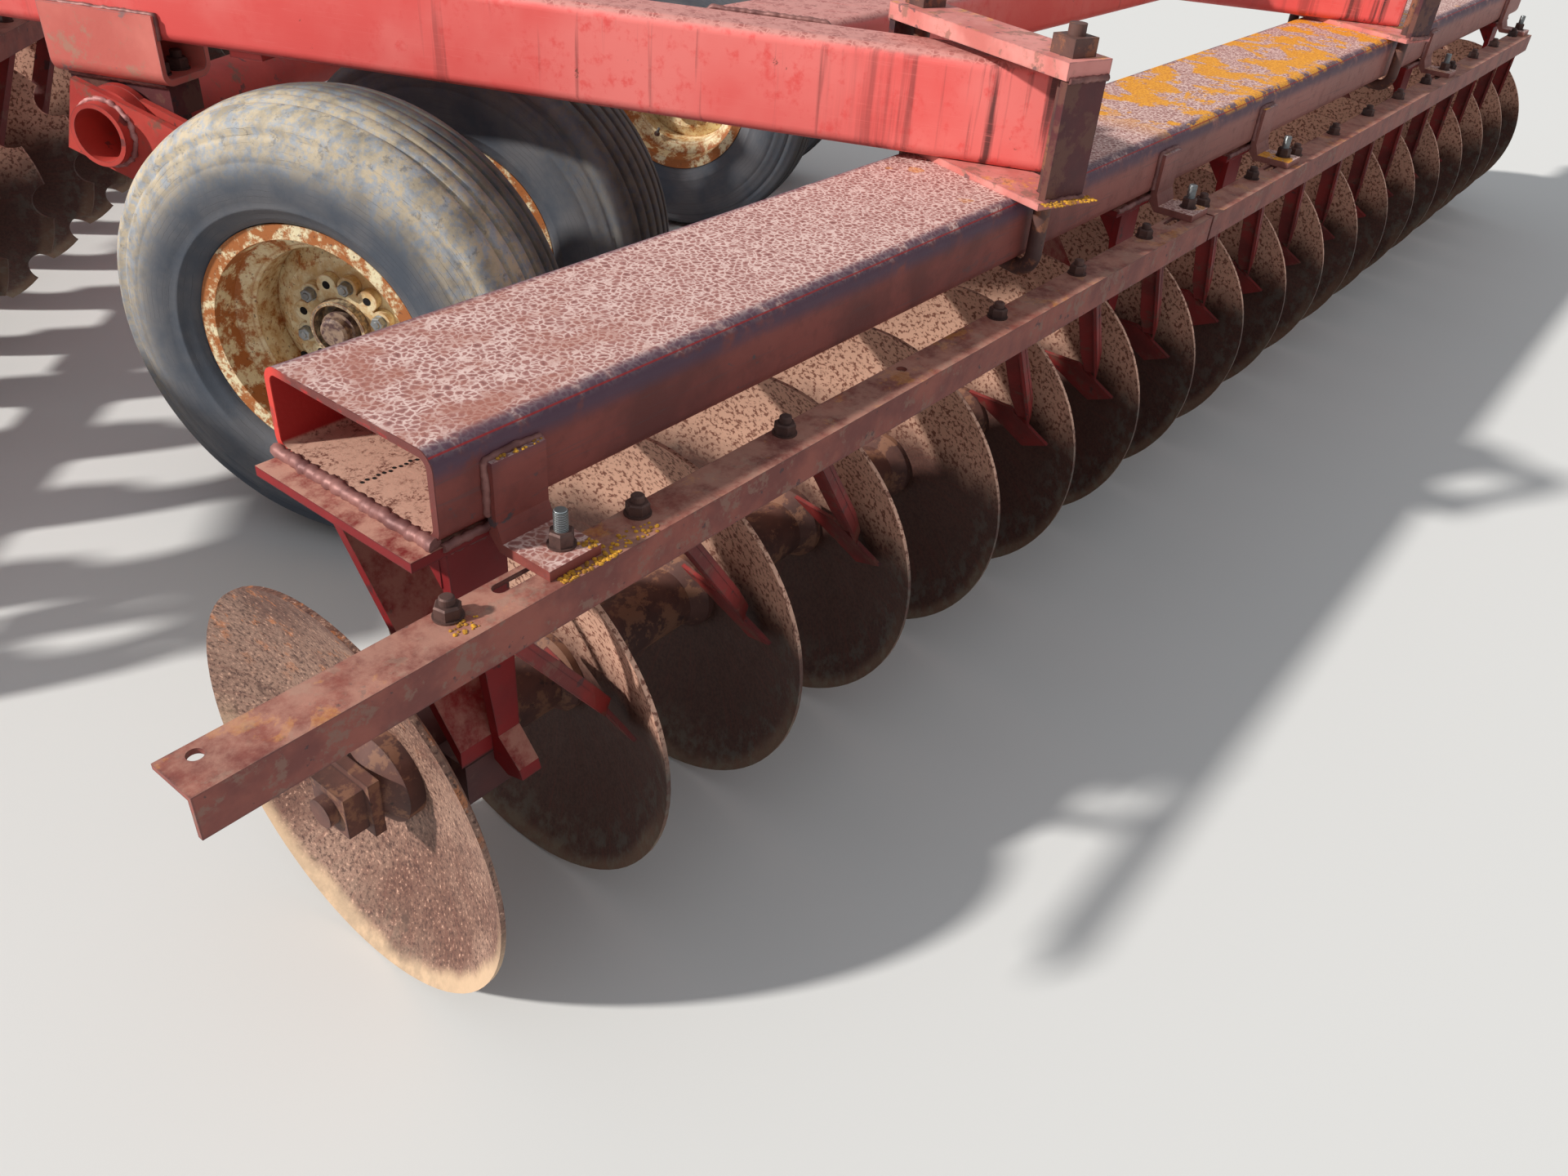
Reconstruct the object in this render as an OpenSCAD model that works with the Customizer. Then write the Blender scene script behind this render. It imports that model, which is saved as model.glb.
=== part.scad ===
// Heavy trailed offset disc harrow, standing on its discs, wheels and jack.
// X is to the right, Y is forward and Z is up. The ground is at Z = 0.

/* [Gangs] */
// Outer diameter of a worn disc
disc_d = 533.4; // [500:1:560]
// Thickness of a disc
disc_t = 6; // [5:0.5:8]
// Depth of the dish from the rim to its flat middle
disc_depth = 68; // [55:1:80]
// Diameter of the flat middle of a disc
disc_flat_d = 124; // [110:2:140]
// Distance from disc to disc
disc_pitch = 254; // [240:1:280]
// Number of discs in a gang
disc_count = 19; // [17:1:21]
// Number of those discs on the gang's first axle
first_axle_discs = 8; // [8:1:9]
// Number of notches round a front disc
notch_count = 10; // [8:1:12]
// Radius of a notch
notch_r = 42; // [30:1:46]
// Depth of a notch
notch_depth = 32; // [20:1:40]
// Angle of the rear gang from square
rear_angle = 23.5; // [18:0.5:25]
// Angle of the front gang from square
front_angle = 20; // [16:0.5:23]
// Middle of the rear gang right of the centreline
rear_gang_x = 24; // [0:1:40]
// Middle of the rear gang forward of the wheel datum
rear_gang_y = -911.5; // [-930:0.5:-890]
// Middle of the front gang right of the centreline
front_gang_x = 0; // [-40:1:40]
// Middle of the front gang forward of the wheel datum
front_gang_y = 2132; // [2100:1:2150]
// Width across the flats of the square gang axle
axle_flats = 38; // [32:1:44]
// Diameter of a spool's end flanges
spool_flange_d = 116; // [104:1:122]
// Diameter of a spool's barrel
spool_d = 88; // [76:1:100]

/* [Gang beams] */
// Width of a gang beam
gang_beam_w = 270; // [250:1:290]
// Height of a gang beam
gang_beam_h = 104; // [95:1:115]
// Wall of a gang beam
gang_beam_wall = 9; // [6:0.5:12]
// Outer corner radius of a gang beam
gang_beam_r = 20; // [14:1:24]
// Underside of a gang beam above the axle
gang_beam_lift = 363; // [340:1:380]
// Middle of a gang beam forward of the axle
gang_beam_ahead = 16; // [0:1:30]
// Start of a gang beam past its first disc
gang_beam_start = 83; // [60:1:100]
// Overhang of a gang beam past its last disc
gang_beam_over = 73; // [60:1:100]

/* [Scrapers] */
// Width of the scraper bar's top flange
bar_w = 57; // [50:1:64]
// Height of the scraper bar's rear flange
bar_h = 47; // [40:1:55]
// Thickness of the scraper bar
bar_t = 6; // [5:0.5:8]
// Top of the scraper bar above the axle
bar_top = 336.6; // [320:0.2:345]
// Rear face of the scraper bar behind the axle
bar_rear = 221; // [215:1:230]
// Overhang of the scraper bar before the first disc
bar_over = 242; // [200:1:260]
// Scraper bolt before its disc's rim
bolt_before = 213.6; // [200:0.2:220]
// Scraper bolt behind the axle
bolt_behind = 179.3; // [176:0.1:184]
// Diameter of a scraper bolt's hole
scraper_hole_d = 15; // [13:0.5:18]
// Width of a scraper's shank
shank_w = 38; // [30:1:40]
// Thickness of a scraper's shank and blade
shank_t = 6; // [5:0.5:8]
// Gap between a scraper's blade and its disc
blade_gap = 8; // [6:0.5:12]

/* [Frame] */
// Distance from the centreline to the middle of a frame beam
frame_half = 871.5; // [860:0.5:880]
// Width of a frame beam
frame_w = 112; // [100:1:120]
// Height of a frame beam
frame_h = 158; // [150:1:175]
// Wall of a frame tube
frame_wall = 8; // [6:0.5:10]
// Outer corner radius of a frame tube
frame_r = 18; // [12:1:22]
// Rear end of a frame beam before the rear gang beam's back face
frame_setback = 45; // [20:1:60]
// Rear face of the front cross tube
frame_front = 2700; // [2690:1:2760]
// Depth of the front cross tube, fore and aft
front_tube_w = 102; // [90:1:120]
// Overhang of the front cross tube past a frame beam
front_tube_over = 40; // [20:1:80]
// Width of a diagonal cross tube
cross_w = 203; // [180:1:210]
// Height of a diagonal cross tube
cross_h = 102; // [90:1:110]
// Rear diagonal tube ahead of the rear axle line
rear_cross_ahead = 400; // [390:1:420]
// Front diagonal tube behind the front axle line
front_cross_behind = 303; // [300:1:310]

/* [Clamps] */
// Thickness of the plate between gang beam and frame beam
clamp_plate_t = 11; // [8:0.5:14]
// Width of a clamp's plate
clamp_plate_w = 100; // [90:1:110]
// Width of a clamp's top strap
strap_w = 85; // [70:1:88]
// Thickness of a clamp's top strap
strap_t = 25; // [20:1:30]
// Strap's underside above the frame beam
strap_gap = 14; // [10:1:20]
// Thickness of the posts at a strap's ends
post_t = 14; // [10:1:16]
// Diameter of a U-bolt
ubolt_d = 26; // [22:1:28]
// Width across a U-bolt's square nut
nut_w = 46; // [40:1:50]
// Height of a U-bolt's square nut
nut_h = 26; // [20:1:32]

/* [Wheels] */
// Diameter of a tyre
tyre_d = 778; // [760:1:784]
// Width of a tyre
tyre_w = 280; // [260:1:284]
// Diameter of the rim's bead seats
rim_d = 381; // [376:1:386]
// Height of the rim's flanges
rim_flange = 18; // [15:0.5:20]
// Width over the rim's flanges
rim_w = 224; // [215:1:228]
// Thickness of the rim
rim_t = 7; // [5:0.5:9]
// Middle of the outer wheel outside the middle of its frame beam
outer_wheel_out = 296.5; // [290:0.5:305]
// Middle of the inner wheel inside the middle of its frame beam
inner_wheel_in = 209.5; // [208:0.5:220]
// Wheel centre above the ground
wheel_lift = 390; // [390:1:400]
// Wheel centre forward of the wheel datum
wheel_y = 514; // [500:1:520]
// Diameter of a wheel spindle
spindle_d = 64; // [56:1:70]
// Lobes round a hub's flange, one for each wheel bolt
wheel_lobes = 12; // [10:1:12]
// Pitch circle of the wheel bolts
wheel_bolt_pcd = 152; // [146:1:160]

/* [Rockshaft] */
// Outer diameter of the rockshaft tube
rock_d = 114; // [108:1:120]
// Wall of the rockshaft tube
rock_wall = 9; // [6:0.5:12]
// Overhang of the rockshaft past a wheel arm
rock_over = 25; // [15:1:40]
// Rockshaft centre forward of the wheel datum
rock_y = 1100; // [1090:1:1110]
// Rockshaft centre above the ground
rock_lift = 583; // [570:1:590]
// Outer face of a wheel arm outside the middle of its frame beam
arm_out = 103.5; // [100:0.5:108]
// Thickness of one arm plate
arm_t = 14; // [12:1:16]
// Gap between the two plates of an arm
arm_gap = 26; // [20:1:30]
// Height of a wheel arm
arm_h = 138; // [130:1:150]
// Radial clearance of the rockshaft and wheels in their bearings
run_gap = 0.05; // [0.02:0.01:0.1]
// Length of the lever from the rockshaft's centre to its pin
lever_len = 260; // [250:1:270]
// Lean of the lever as it stands, forward is positive
lever_lean = -10; // [-14:1:-6]
// Radial clearance of the rod's pin in the lever
lever_pin_gap = 12; // [11:0.5:13]

/* [Cylinder] */
// Distance from pin to pin with the rod in
cylinder_closed = 514; // [500:1:540]
// Travel of the rod
cylinder_stroke = 203; // [200:1:210]
// Front pin of the cylinder above the rockshaft's centre
anchor_up = 182; // [176:1:190]
// Outer diameter of the barrel
barrel_d = 102; // [90:1:110]
// Diameter of the rod
rod_d = 38; // [32:1:44]
// Diameter of the cylinder's pins
pin_d = 25; // [22:0.5:30]

/* [Tongue] */
// Length of the tongue from its lugs to the hitch pin
tongue_len = 1900; // [1700:10:2100]
// Height of the hitch pin's middle above the ground
hitch_lift = 500; // [460:5:520]
// Half of the spread of the tongue's rear ends
tongue_half = 560; // [500:5:600]
// Width of a tongue beam
tongue_w = 76; // [70:1:90]
// Height of a tongue beam
tongue_h = 127; // [110:1:140]
// Cross brace ahead of the tongue's rear pins
brace_ahead = 740; // [700:5:780]
// Diameter of the hitch pin's hole
hitch_hole_d = 33; // [30:0.5:40]

/* [Hidden] */

disc_r = disc_d / 2;
axle_lift = disc_r;
gang_half = (disc_count - 1) / 2 * disc_pitch;
gang_beam_top = gang_beam_lift + gang_beam_h;
frame_bottom = axle_lift + gang_beam_top + clamp_plate_t;
frame_top = frame_bottom + frame_h;
frame_inner = frame_half - frame_w / 2;
outer_wheel_x = frame_half + outer_wheel_out;
inner_wheel_x = frame_half - inner_wheel_in;
arm_x = frame_half + arm_out;
rock_half = arm_x + rock_over;
strap_bottom = gang_beam_top + clamp_plate_t + frame_h + strap_gap;
seat = 0.3;

// Each gang axle carries discs from its first to its last one.
axles = [[0, first_axle_discs - 1], [first_axle_discs, disc_count - 1]];
// Hangers stand in the middle of the gap that follows these discs.
hangers = [0, first_axle_discs - 2, first_axle_discs, first_axle_discs + 5, disc_count - 2];
// Discs of the rear gang whose scraper is lost.
lost_scrapers = [0, 4];
// Bar straps stand this many pitches along the gang.
bar_straps = [0.7, first_axle_discs - 1.15, first_axle_discs + 0.8, first_axle_discs + 5.8, disc_count - 1.6];
bar_split = (first_axle_discs - 1) * disc_pitch;
bar_split_gap = 8;

function hanger_x(i) = (i + 0.5) * disc_pitch + disc_depth + disc_t / 2 - 64;

// Local frame of the rear gang: x runs along the axle from the first disc, y is forward, z up from the axle.
module rear_gang() {
    translate([rear_gang_x, rear_gang_y, axle_lift])
        rotate([0, 0, -rear_angle])
            translate([-gang_half, 0, 0]) children();
}

// Local frame of the front gang, which mirrors the rear one.
module front_gang() {
    translate([front_gang_x, front_gang_y, axle_lift])
        mirror([1, 0, 0])
            rotate([0, 0, -front_angle])
                translate([-gang_half, 0, 0]) children();
}

// Place along a gang, at its beam's middle, where a frame beam at x crosses.
function rear_cross_x(x) = gang_half + (x - rear_gang_x - gang_beam_ahead * sin(rear_angle)) / cos(rear_angle);
function front_cross_x(x) = gang_half + (front_gang_x - x - gang_beam_ahead * sin(front_angle)) / cos(front_angle);

function rear_axle_y(x) = rear_gang_y - (x - rear_gang_x) * tan(rear_angle);
function front_axle_y(x) = front_gang_y + (x - front_gang_x) * tan(front_angle);

module tube_section(w, h, r) {
    translate([r - w / 2, 0]) square([w - 2 * r, h]);
    translate([-w / 2, r]) square([w, h - 2 * r]);
    for (x = [r - w / 2, w / 2 - r], y = [r, h - r])
        translate([x, y]) circle(r = r, $fn = 32);
}

module hollow_section(w, h, r, wall) {
    difference() {
        tube_section(w, h, r);
        translate([0, wall]) tube_section(w - 2 * wall, h - 2 * wall, max(r - wall, 2));
    }
}

// Rectangular tube along +Y from y0 to y1, its middle over x and its underside at z.
module tube_y(x, y0, y1, z, w, h, r, wall) {
    translate([x, y1, z])
        rotate([90, 0, 0]) linear_extrude(height = y1 - y0) hollow_section(w, h, r, wall);
}

// Rectangular tube along +X from x0 to x1.
module tube_x(y, x0, x1, z, w, h, r, wall) {
    translate([x0, y, z])
        rotate([90, 0, 90]) linear_extrude(height = x1 - x0) hollow_section(w, h, r, wall);
}

pad_w = 64;
pad_len = 65;
pad_t = 14;
pad_behind = 305;

module frame_beam(x) {
    rear_y = rear_axle_y(x) + (gang_beam_ahead - gang_beam_w / 2) / cos(rear_angle) + frame_setback;
    tube_y(x, rear_y, frame_front, frame_bottom, frame_w, frame_h, frame_r, frame_wall);
    // Pad below the beam, behind the rockshaft's saddle.
    translate([x - pad_w / 2, rock_y - pad_behind, frame_bottom - pad_t]) cube([pad_w, pad_len, pad_t + 2]);
}

module left_frame_beam() {
    color("firebrick") frame_beam(-frame_half);
}

module right_frame_beam() {
    color("firebrick") frame_beam(frame_half);
}

// Space between the two frame beams, which trims what is welded between them.
module between_beams() {
    translate([-frame_inner, -3000, 0]) cube([2 * frame_inner, 7000, 2000]);
}

module rear_diagonal_tube() {
    color("firebrick")
        intersection() {
            rear_gang()
                tube_x(rear_cross_ahead, -200, 2 * gang_half + 200, frame_top - cross_h - axle_lift,
                    cross_w, cross_h, frame_r, frame_wall);
            between_beams();
        }
}

anchor_lug_t = 20;
anchor_out = 44;

// Middle of the lever's pin at a given turn of the rockshaft.
function lever_y(turn) = rock_y + lever_len * sin(lever_lean - turn);
function lever_z(turn) = rock_lift + lever_len * cos(lever_lean - turn);
rock_up = 14;
anchor_z = rock_lift + anchor_up;
anchor_rise = anchor_z - lever_z(-rock_up);
anchor_y = lever_y(-rock_up) + sqrt(cylinder_closed * cylinder_closed - anchor_rise * anchor_rise);

front_cross_face = front_axle_y(0) - (front_cross_behind + cross_w / 2) / cos(front_angle);
lug_gap = 60;

module front_diagonal_tube() {
    color("firebrick") {
        difference() {
            union() {
                intersection() {
                    front_gang()
                        tube_x(-front_cross_behind, -200, 2 * gang_half + 200, frame_top - cross_h - axle_lift,
                            cross_w, cross_h, frame_r, frame_wall);
                    between_beams();
                }
                for (side = [-1, 1])
                    translate([side * (lug_gap + anchor_lug_t) / 2, 0, 0])
                        rotate([90, 0, 90])
                            linear_extrude(height = anchor_lug_t, center = true) {
                                translate([anchor_y, anchor_z]) circle(r = 34, $fn = 48);
                                polygon([[anchor_y - 10, anchor_z - 32], [anchor_y - 10, anchor_z + 33],
                                    [front_cross_face + 30, frame_top - 8],
                                    [front_cross_face + 30, frame_top - cross_h + 14]]);
                            }
            }
            translate([0, anchor_y, anchor_z])
                rotate([0, 90, 0]) cylinder(h = lug_gap + 4 * anchor_lug_t, r = pin_d / 2, center = true, $fn = 48);
        }
    }
}

tongue_lug_gap = tongue_w + 2 * seat;
tongue_lug_t = 16;
tongue_pin_d = 30;
tongue_pin_y = frame_front + front_tube_w + 48;
tongue_pin_z = frame_bottom + 52;
mast_h = 330;
mast_w = 90;
screw_pin_d = 25;
mast_pin_z = frame_top + mast_h - 40;

module front_cross_tube() {
    half = frame_half + frame_w / 2 + front_tube_over;
    color("firebrick")
        difference() {
            union() {
                tube_x(frame_front + front_tube_w / 2, -half, half, frame_bottom, front_tube_w, frame_h,
                    frame_r, frame_wall);
                // Lugs for the tongue's rear ends.
                for (side = [-1, 1], edge = [-1, 1])
                    translate([side * tongue_half + edge * (tongue_lug_gap + tongue_lug_t) / 2, 0, 0])
                        rotate([90, 0, 90])
                            linear_extrude(height = tongue_lug_t, center = true) {
                                translate([tongue_pin_y, tongue_pin_z]) circle(r = 36, $fn = 48);
                                translate([frame_front + front_tube_w - 4, tongue_pin_z - 36])
                                    square([52, 72]);
                            }
                // Levelling mast.
                for (edge = [-1, 1])
                    translate([edge * 30 - 7, 0, 0])
                        rotate([90, 0, 90])
                            linear_extrude(height = 14)
                                polygon([[frame_front + 6, frame_top - 2],
                                    [frame_front + front_tube_w - 6, frame_top - 2],
                                    [frame_front + front_tube_w - 6, frame_top + mast_h],
                                    [frame_front + front_tube_w - mast_w + 10, frame_top + mast_h]]);
            }
            for (side = [-1, 1])
                translate([side * tongue_half, tongue_pin_y, tongue_pin_z])
                    rotate([0, 90, 0])
                        cylinder(h = 2 * tongue_lug_gap, r = tongue_pin_d / 2, center = true, $fn = 48);
            translate([0, frame_front + front_tube_w - 38, mast_pin_z])
                rotate([0, 90, 0]) cylinder(h = 120, r = screw_pin_d / 2, center = true, $fn = 48);
        }
}

strap_leg_w = 70;
strap_leg_t = 12;
strap_top_above = 90;

// Strap that is welded to the gang beam's rear face and bolts the scraper bar down.
module bar_strap(x) {
    rear_face = gang_beam_ahead - gang_beam_w / 2;
    foot = bar_top + seat;
    translate([x - strap_leg_w / 2, 0, 0])
        difference() {
            rotate([90, 0, 90])
                linear_extrude(height = strap_leg_w)
                    polygon([[rear_face + 0.5, foot + strap_leg_t + strap_top_above],
                        [rear_face - strap_leg_t, foot + strap_leg_t + strap_top_above],
                        [rear_face - strap_leg_t, foot + strap_leg_t + 20],
                        [rear_face - strap_leg_t - 8, foot + strap_leg_t],
                        [-bar_rear + 14, foot + strap_leg_t], [-bar_rear + 14, foot],
                        [rear_face - 14, foot], [rear_face, foot + 16], [rear_face + 0.5, foot + 16]]);
            translate([strap_leg_w * 0.6, -bolt_behind, foot - 1])
                cylinder(h = strap_leg_t + 2, r = scraper_hole_d / 2, $fn = 32);
        }
}

module gang_beam() {
            tube_x(gang_beam_ahead, gang_beam_start, 2 * gang_half + gang_beam_over, gang_beam_lift,
                gang_beam_w, gang_beam_h, gang_beam_r, gang_beam_wall);
    for (k = bar_straps) bar_strap(k * disc_pitch);
}

module rear_gang_beam() {
    color("indianred") rear_gang() gang_beam();
}

module front_gang_beam() {
    color("indianred") front_gang() gang_beam();
}

// Legs of a U-bolt from the crossing's middle: [along the gang, across it].
leg_rear = [-82, -156];
leg_front = [22, 164];
leg_turn = atan2(leg_rear[0] - leg_front[0], leg_front[1] - leg_rear[1]);
leg_span = norm(leg_front - leg_rear);
post_out = 24;

// Puts children at all four crossings, with x across the clamp and y from its rear leg to its front leg.
module at_crossings() {
    for (x = [-frame_half, frame_half]) {
        rear_gang()
            translate([rear_cross_x(x) + leg_rear[0], gang_beam_ahead + leg_rear[1], 0])
                rotate([0, 0, leg_turn]) children();
        front_gang()
            translate([front_cross_x(x) + leg_rear[0], gang_beam_ahead + leg_rear[1], 0])
                rotate([0, 0, leg_turn]) children();
    }
}

module leg_holes(z, h) {
    for (y = [0, leg_span])
        translate([0, y, z]) cylinder(h = h, r = ubolt_d / 2 + 1, $fn = 48);
}

module clamp_plates() {
    color("firebrick")
        at_crossings()
            difference() {
                translate([-clamp_plate_w / 2, -post_out - post_t, gang_beam_top])
                    cube([clamp_plate_w, leg_span + 2 * (post_out + post_t), clamp_plate_t]);
                leg_holes(gang_beam_top - 1, clamp_plate_t + 2);
            }
}

module clamp_straps() {
    color("firebrick")
        at_crossings()
            difference() {
                translate([-strap_w / 2, -post_out - post_t, strap_bottom])
                    cube([strap_w, leg_span + 2 * (post_out + post_t), strap_t]);
                leg_holes(strap_bottom - 1, strap_t + 2);
            }
}

module clamp_posts() {
    h = strap_bottom - gang_beam_top - clamp_plate_t;
    color("maroon")
        at_crossings()
            for (y = [-post_out - post_t, leg_span + post_out])
                translate([-strap_w / 2 + 4, y, gang_beam_top + clamp_plate_t]) cube([strap_w - 8, post_t, h]);
}

bend_r = 34;

module clamp_u_bolts() {
    top = strap_bottom + strap_t + nut_h + 16;
    low = gang_beam_lift - ubolt_d / 2 - seat;
    color("maroon")
        at_crossings() {
            for (y = [0, leg_span]) {
                translate([0, y, low + bend_r]) cylinder(h = top - low - bend_r, r = ubolt_d / 2, $fn = 48);
                translate([-nut_w / 2, y - nut_w / 2, strap_bottom + strap_t]) cube([nut_w, nut_w, nut_h]);
            }
            translate([0, bend_r, low])
                rotate([-90, 0, 0]) cylinder(h = leg_span - 2 * bend_r, r = ubolt_d / 2, $fn = 48);
            translate([0, bend_r, low + bend_r])
                rotate([90, 0, -90])
                    rotate([0, 0, -90])
                        rotate_extrude(angle = 90, $fn = 48) translate([bend_r, 0]) circle(r = ubolt_d / 2, $fn = 48);
            translate([0, leg_span - bend_r, low + bend_r])
                rotate([90, 0, 90])
                    rotate([0, 0, -90])
                        rotate_extrude(angle = 90, $fn = 48) translate([bend_r, 0]) circle(r = ubolt_d / 2, $fn = 48);
        }
}

hanger_plate_t = 12;
hanger_w = 76;
housing_d = 112;
housing_w = 78;
sleeve_d = 70;

leg_foot_w = 28;
gusset_t = 10;

// Welded hanger below a gang beam: a tapered rear leg with its gusset and a slanting front brace.
module hanger() {
    top = gang_beam_lift - hanger_plate_t;
    side = hanger_w / 2;
    translate([-86, gang_beam_ahead - gang_beam_w / 2 + 1, top]) cube([162, 258, hanger_plate_t]);
    intersection() {
        rotate([90, 0, 90])
            translate([0, 0, -side])
                linear_extrude(height = hanger_w)
                    polygon([[-108, top + 1], [-94, top + 1], [-94, 24], [-116, 12], [-142, 20], [-138, 34],
                        [-108, 70]]);
        rotate([90, 0, 0])
            translate([0, 0, 90])
                linear_extrude(height = 60)
                    polygon([[-side, top + 2], [side, top + 2], [side, 5], [side - leg_foot_w, 5],
                        [side - leg_foot_w - 4, 75], [side - 46, 215], [-side + 2, 290]]);
    }
    rotate([90, 0, 90])
        translate([0, 0, -side]) {
            linear_extrude(height = gusset_t)
                polygon([[-95, top + 1], [-50, top + 1], [-95, 296]]);
            linear_extrude(height = hanger_w)
                polygon([[134, top + 1], [118, top + 1], [-95, 66], [-95, 42]]);
        }
}

module bearing_hangers() {
    color("firebrick") {
        rear_gang() for (i = hangers) translate([hanger_x(i), 0, 0]) hanger();
        front_gang() for (i = hangers) translate([hanger_x(i), 0, 0]) hanger();
    }
}

// Bearing housing with the foot that bolts it to the hanger's rear plate.
module housing() {
    difference() {
        union() {
            translate([-housing_w / 2, 0, 0]) rotate([0, 90, 0]) cylinder(h = housing_w, r = housing_d / 2, $fn = 64);
            translate([-housing_w / 2 + 6, -94, -22]) cube([housing_w - 12, 70, 60]);
        }
        translate([-housing_w, 0, 0])
            rotate([0, 90, 0]) cylinder(h = 2 * housing_w, r = sleeve_d / 2 + run_gap, $fn = 64);
    }
}

module gang_bearings() {
    color("dimgray") {
        rear_gang() for (i = hangers) translate([hanger_x(i), 0, 0]) housing();
        front_gang() for (i = hangers) translate([hanger_x(i), 0, 0]) housing();
    }
}

slot_len = 46;

// Angle bar over discs from x0 to x1, drilled for the scrapers of the discs in k0 to k1.
module scraper_bar(x0, x1, k0, k1) {
    difference() {
        translate([x0, 0, 0])
            rotate([90, 0, 90])
                linear_extrude(height = x1 - x0)
                    polygon([[bar_w - bar_rear, bar_top], [-bar_rear, bar_top], [-bar_rear, bar_top - bar_h],
                        [bar_t - bar_rear, bar_top - bar_h], [bar_t - bar_rear, bar_top - bar_t],
                        [bar_w - bar_rear, bar_top - bar_t]]);
        for (k = [k0:k1])
            translate([k * disc_pitch - bolt_before, -bolt_behind, bar_top - bar_t - 1])
                cylinder(h = bar_t + 2, r = scraper_hole_d / 2, $fn = 32);
        for (k = bar_straps)
            translate([k * disc_pitch - strap_leg_w * 0.75, -bolt_behind, bar_top - bar_t - 1])
                for (x = [0, slot_len]) {
                    translate([x - slot_len / 2, 0, 0]) cylinder(h = bar_t + 2, r = 8, $fn = 32);
                    translate([-slot_len / 2, -8, 0]) cube([slot_len, 16, bar_t + 2]);
                }
    }
}

bar_end = 2 * gang_half - bolt_before + 90;

module rear_scraper_bar_left() {
    color("brown")
        rear_gang() scraper_bar(-bar_over, bar_split - bar_split_gap / 2, 0, first_axle_discs - 1);
}

module rear_scraper_bar_right() {
    color("brown")
        rear_gang() scraper_bar(bar_split + bar_split_gap / 2, bar_end, first_axle_discs, disc_count - 1);
}

module front_scraper_bars() {
    color("brown")
        front_gang() {
            scraper_bar(-bar_over, bar_split - bar_split_gap / 2, 0, first_axle_discs - 1);
            scraper_bar(bar_split + bar_split_gap / 2, bar_end, first_axle_discs, disc_count - 1);
        }
}

// Concave face of a disc past its rim, at radius r from the axle.
dish_flat_r = disc_flat_d / 2;
dish_centre = (disc_r * disc_r - dish_flat_r * dish_flat_r + disc_depth * disc_depth) / (2 * disc_depth);
dish_r = sqrt(dish_centre * dish_centre + dish_flat_r * dish_flat_r);
function dish_x(r) = disc_depth - dish_centre + sqrt(dish_r * dish_r - r * r);

shank_turn = 9.6;
shank_len = 199;
shank_end = 86;
blade_y = -150;
blade_z = 10;

// Scraper of the disc whose rim is at x = 0: foot below the bar, tapered angle shank and slanting blade.
module scraper() {
    foot_z = bar_top - bar_t - shank_t - seat;
    half = shank_w / 2;
    low = foot_z + 0.6;
    high = foot_z + shank_t - 0.6;
    color("firebrick") {
        translate([-bolt_before, -bolt_behind, 0])
            difference() {
                translate([-20, -half - 10, foot_z]) cube([46, shank_w + 2, shank_t]);
                translate([0, 0, foot_z - 1]) cylinder(h = shank_t + 2, r = scraper_hole_d / 2, $fn = 32);
            }
        translate([24 - bolt_before, -bolt_behind - 10, 0])
            rotate([0, 0, shank_turn])
                intersection() {
                    union() {
                        rotate([90, 0, 0])
                            translate([0, 0, -half])
                                linear_extrude(height = shank_w)
                                    polygon([[-8, low], [-8, high], [8, high], [shank_len, shank_end],
                                        [shank_len - 6, shank_end - 6], [4, low]]);
                        rotate([90, 0, 0])
                            translate([0, 0, half - shank_t - 0.7])
                                linear_extrude(height = shank_t)
                                    polygon([[3, foot_z - 18], [7, foot_z + 2], [shank_len - 4, shank_end - 3.5],
                                        [shank_len - 16, shank_end - 16]]);
                    }
                    translate([0, 0, 20])
                        linear_extrude(height = 400)
                            polygon([[-20, -half - 1], [shank_len * 0.75, -half - 1], [shank_len + 1, 8 - half],
                                [shank_len + 1, half - 8], [shank_len * 0.75, half + 1], [-20, half + 1]]);
                }
        // Blade, whose lower corner comes close to the dish.
        translate([dish_x(norm([blade_y, blade_z])) - blade_gap, blade_y, blade_z])
            rotate([0, 0, -12])
                rotate([0, -28, 0])
                    rotate([90, 0, 90])
                        translate([0, 0, -shank_t])
                            linear_extrude(height = shank_t)
                                polygon([[0, 0], [112, 77], [10, 94], [-64, 40]]);
    }
}

module scrapers(lost) {
    for (k = [0:disc_count - 1])
        if (len(search(k, lost)) == 0) translate([k * disc_pitch, 0, 0]) scraper();
}

module rear_scrapers() {
    rear_gang() scrapers(lost_scrapers);
}

module front_scrapers() {
    front_gang() scrapers([]);
}

// Profile of a disc: dished zone and flat middle, with the gang's axis along the profile's Y.
module disc_profile() {
    flat_r = disc_flat_d / 2;
    centre = (disc_r * disc_r - flat_r * flat_r + disc_depth * disc_depth) / (2 * disc_depth);
    dish_r = sqrt(centre * centre + flat_r * flat_r);
    intersection() {
        translate([0, disc_depth - centre])
            difference() {
                circle(r = dish_r + disc_t, $fn = 200);
                circle(r = dish_r, $fn = 200);
            }
        translate([flat_r, -5]) square([disc_r - flat_r, disc_depth + 20]);
    }
    translate([0, disc_depth]) square([flat_r + 2, disc_t]);
}

module disc_body() {
    rotate([0, 90, 0]) rotate([0, 0, 45])
        difference() {
            rotate_extrude($fn = 96) disc_profile();
            translate([-axle_flats / 2 - seat, -axle_flats / 2 - seat, disc_depth - 1])
                cube([axle_flats + 2 * seat, axle_flats + 2 * seat, disc_t + 2]);
        }
}

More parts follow.
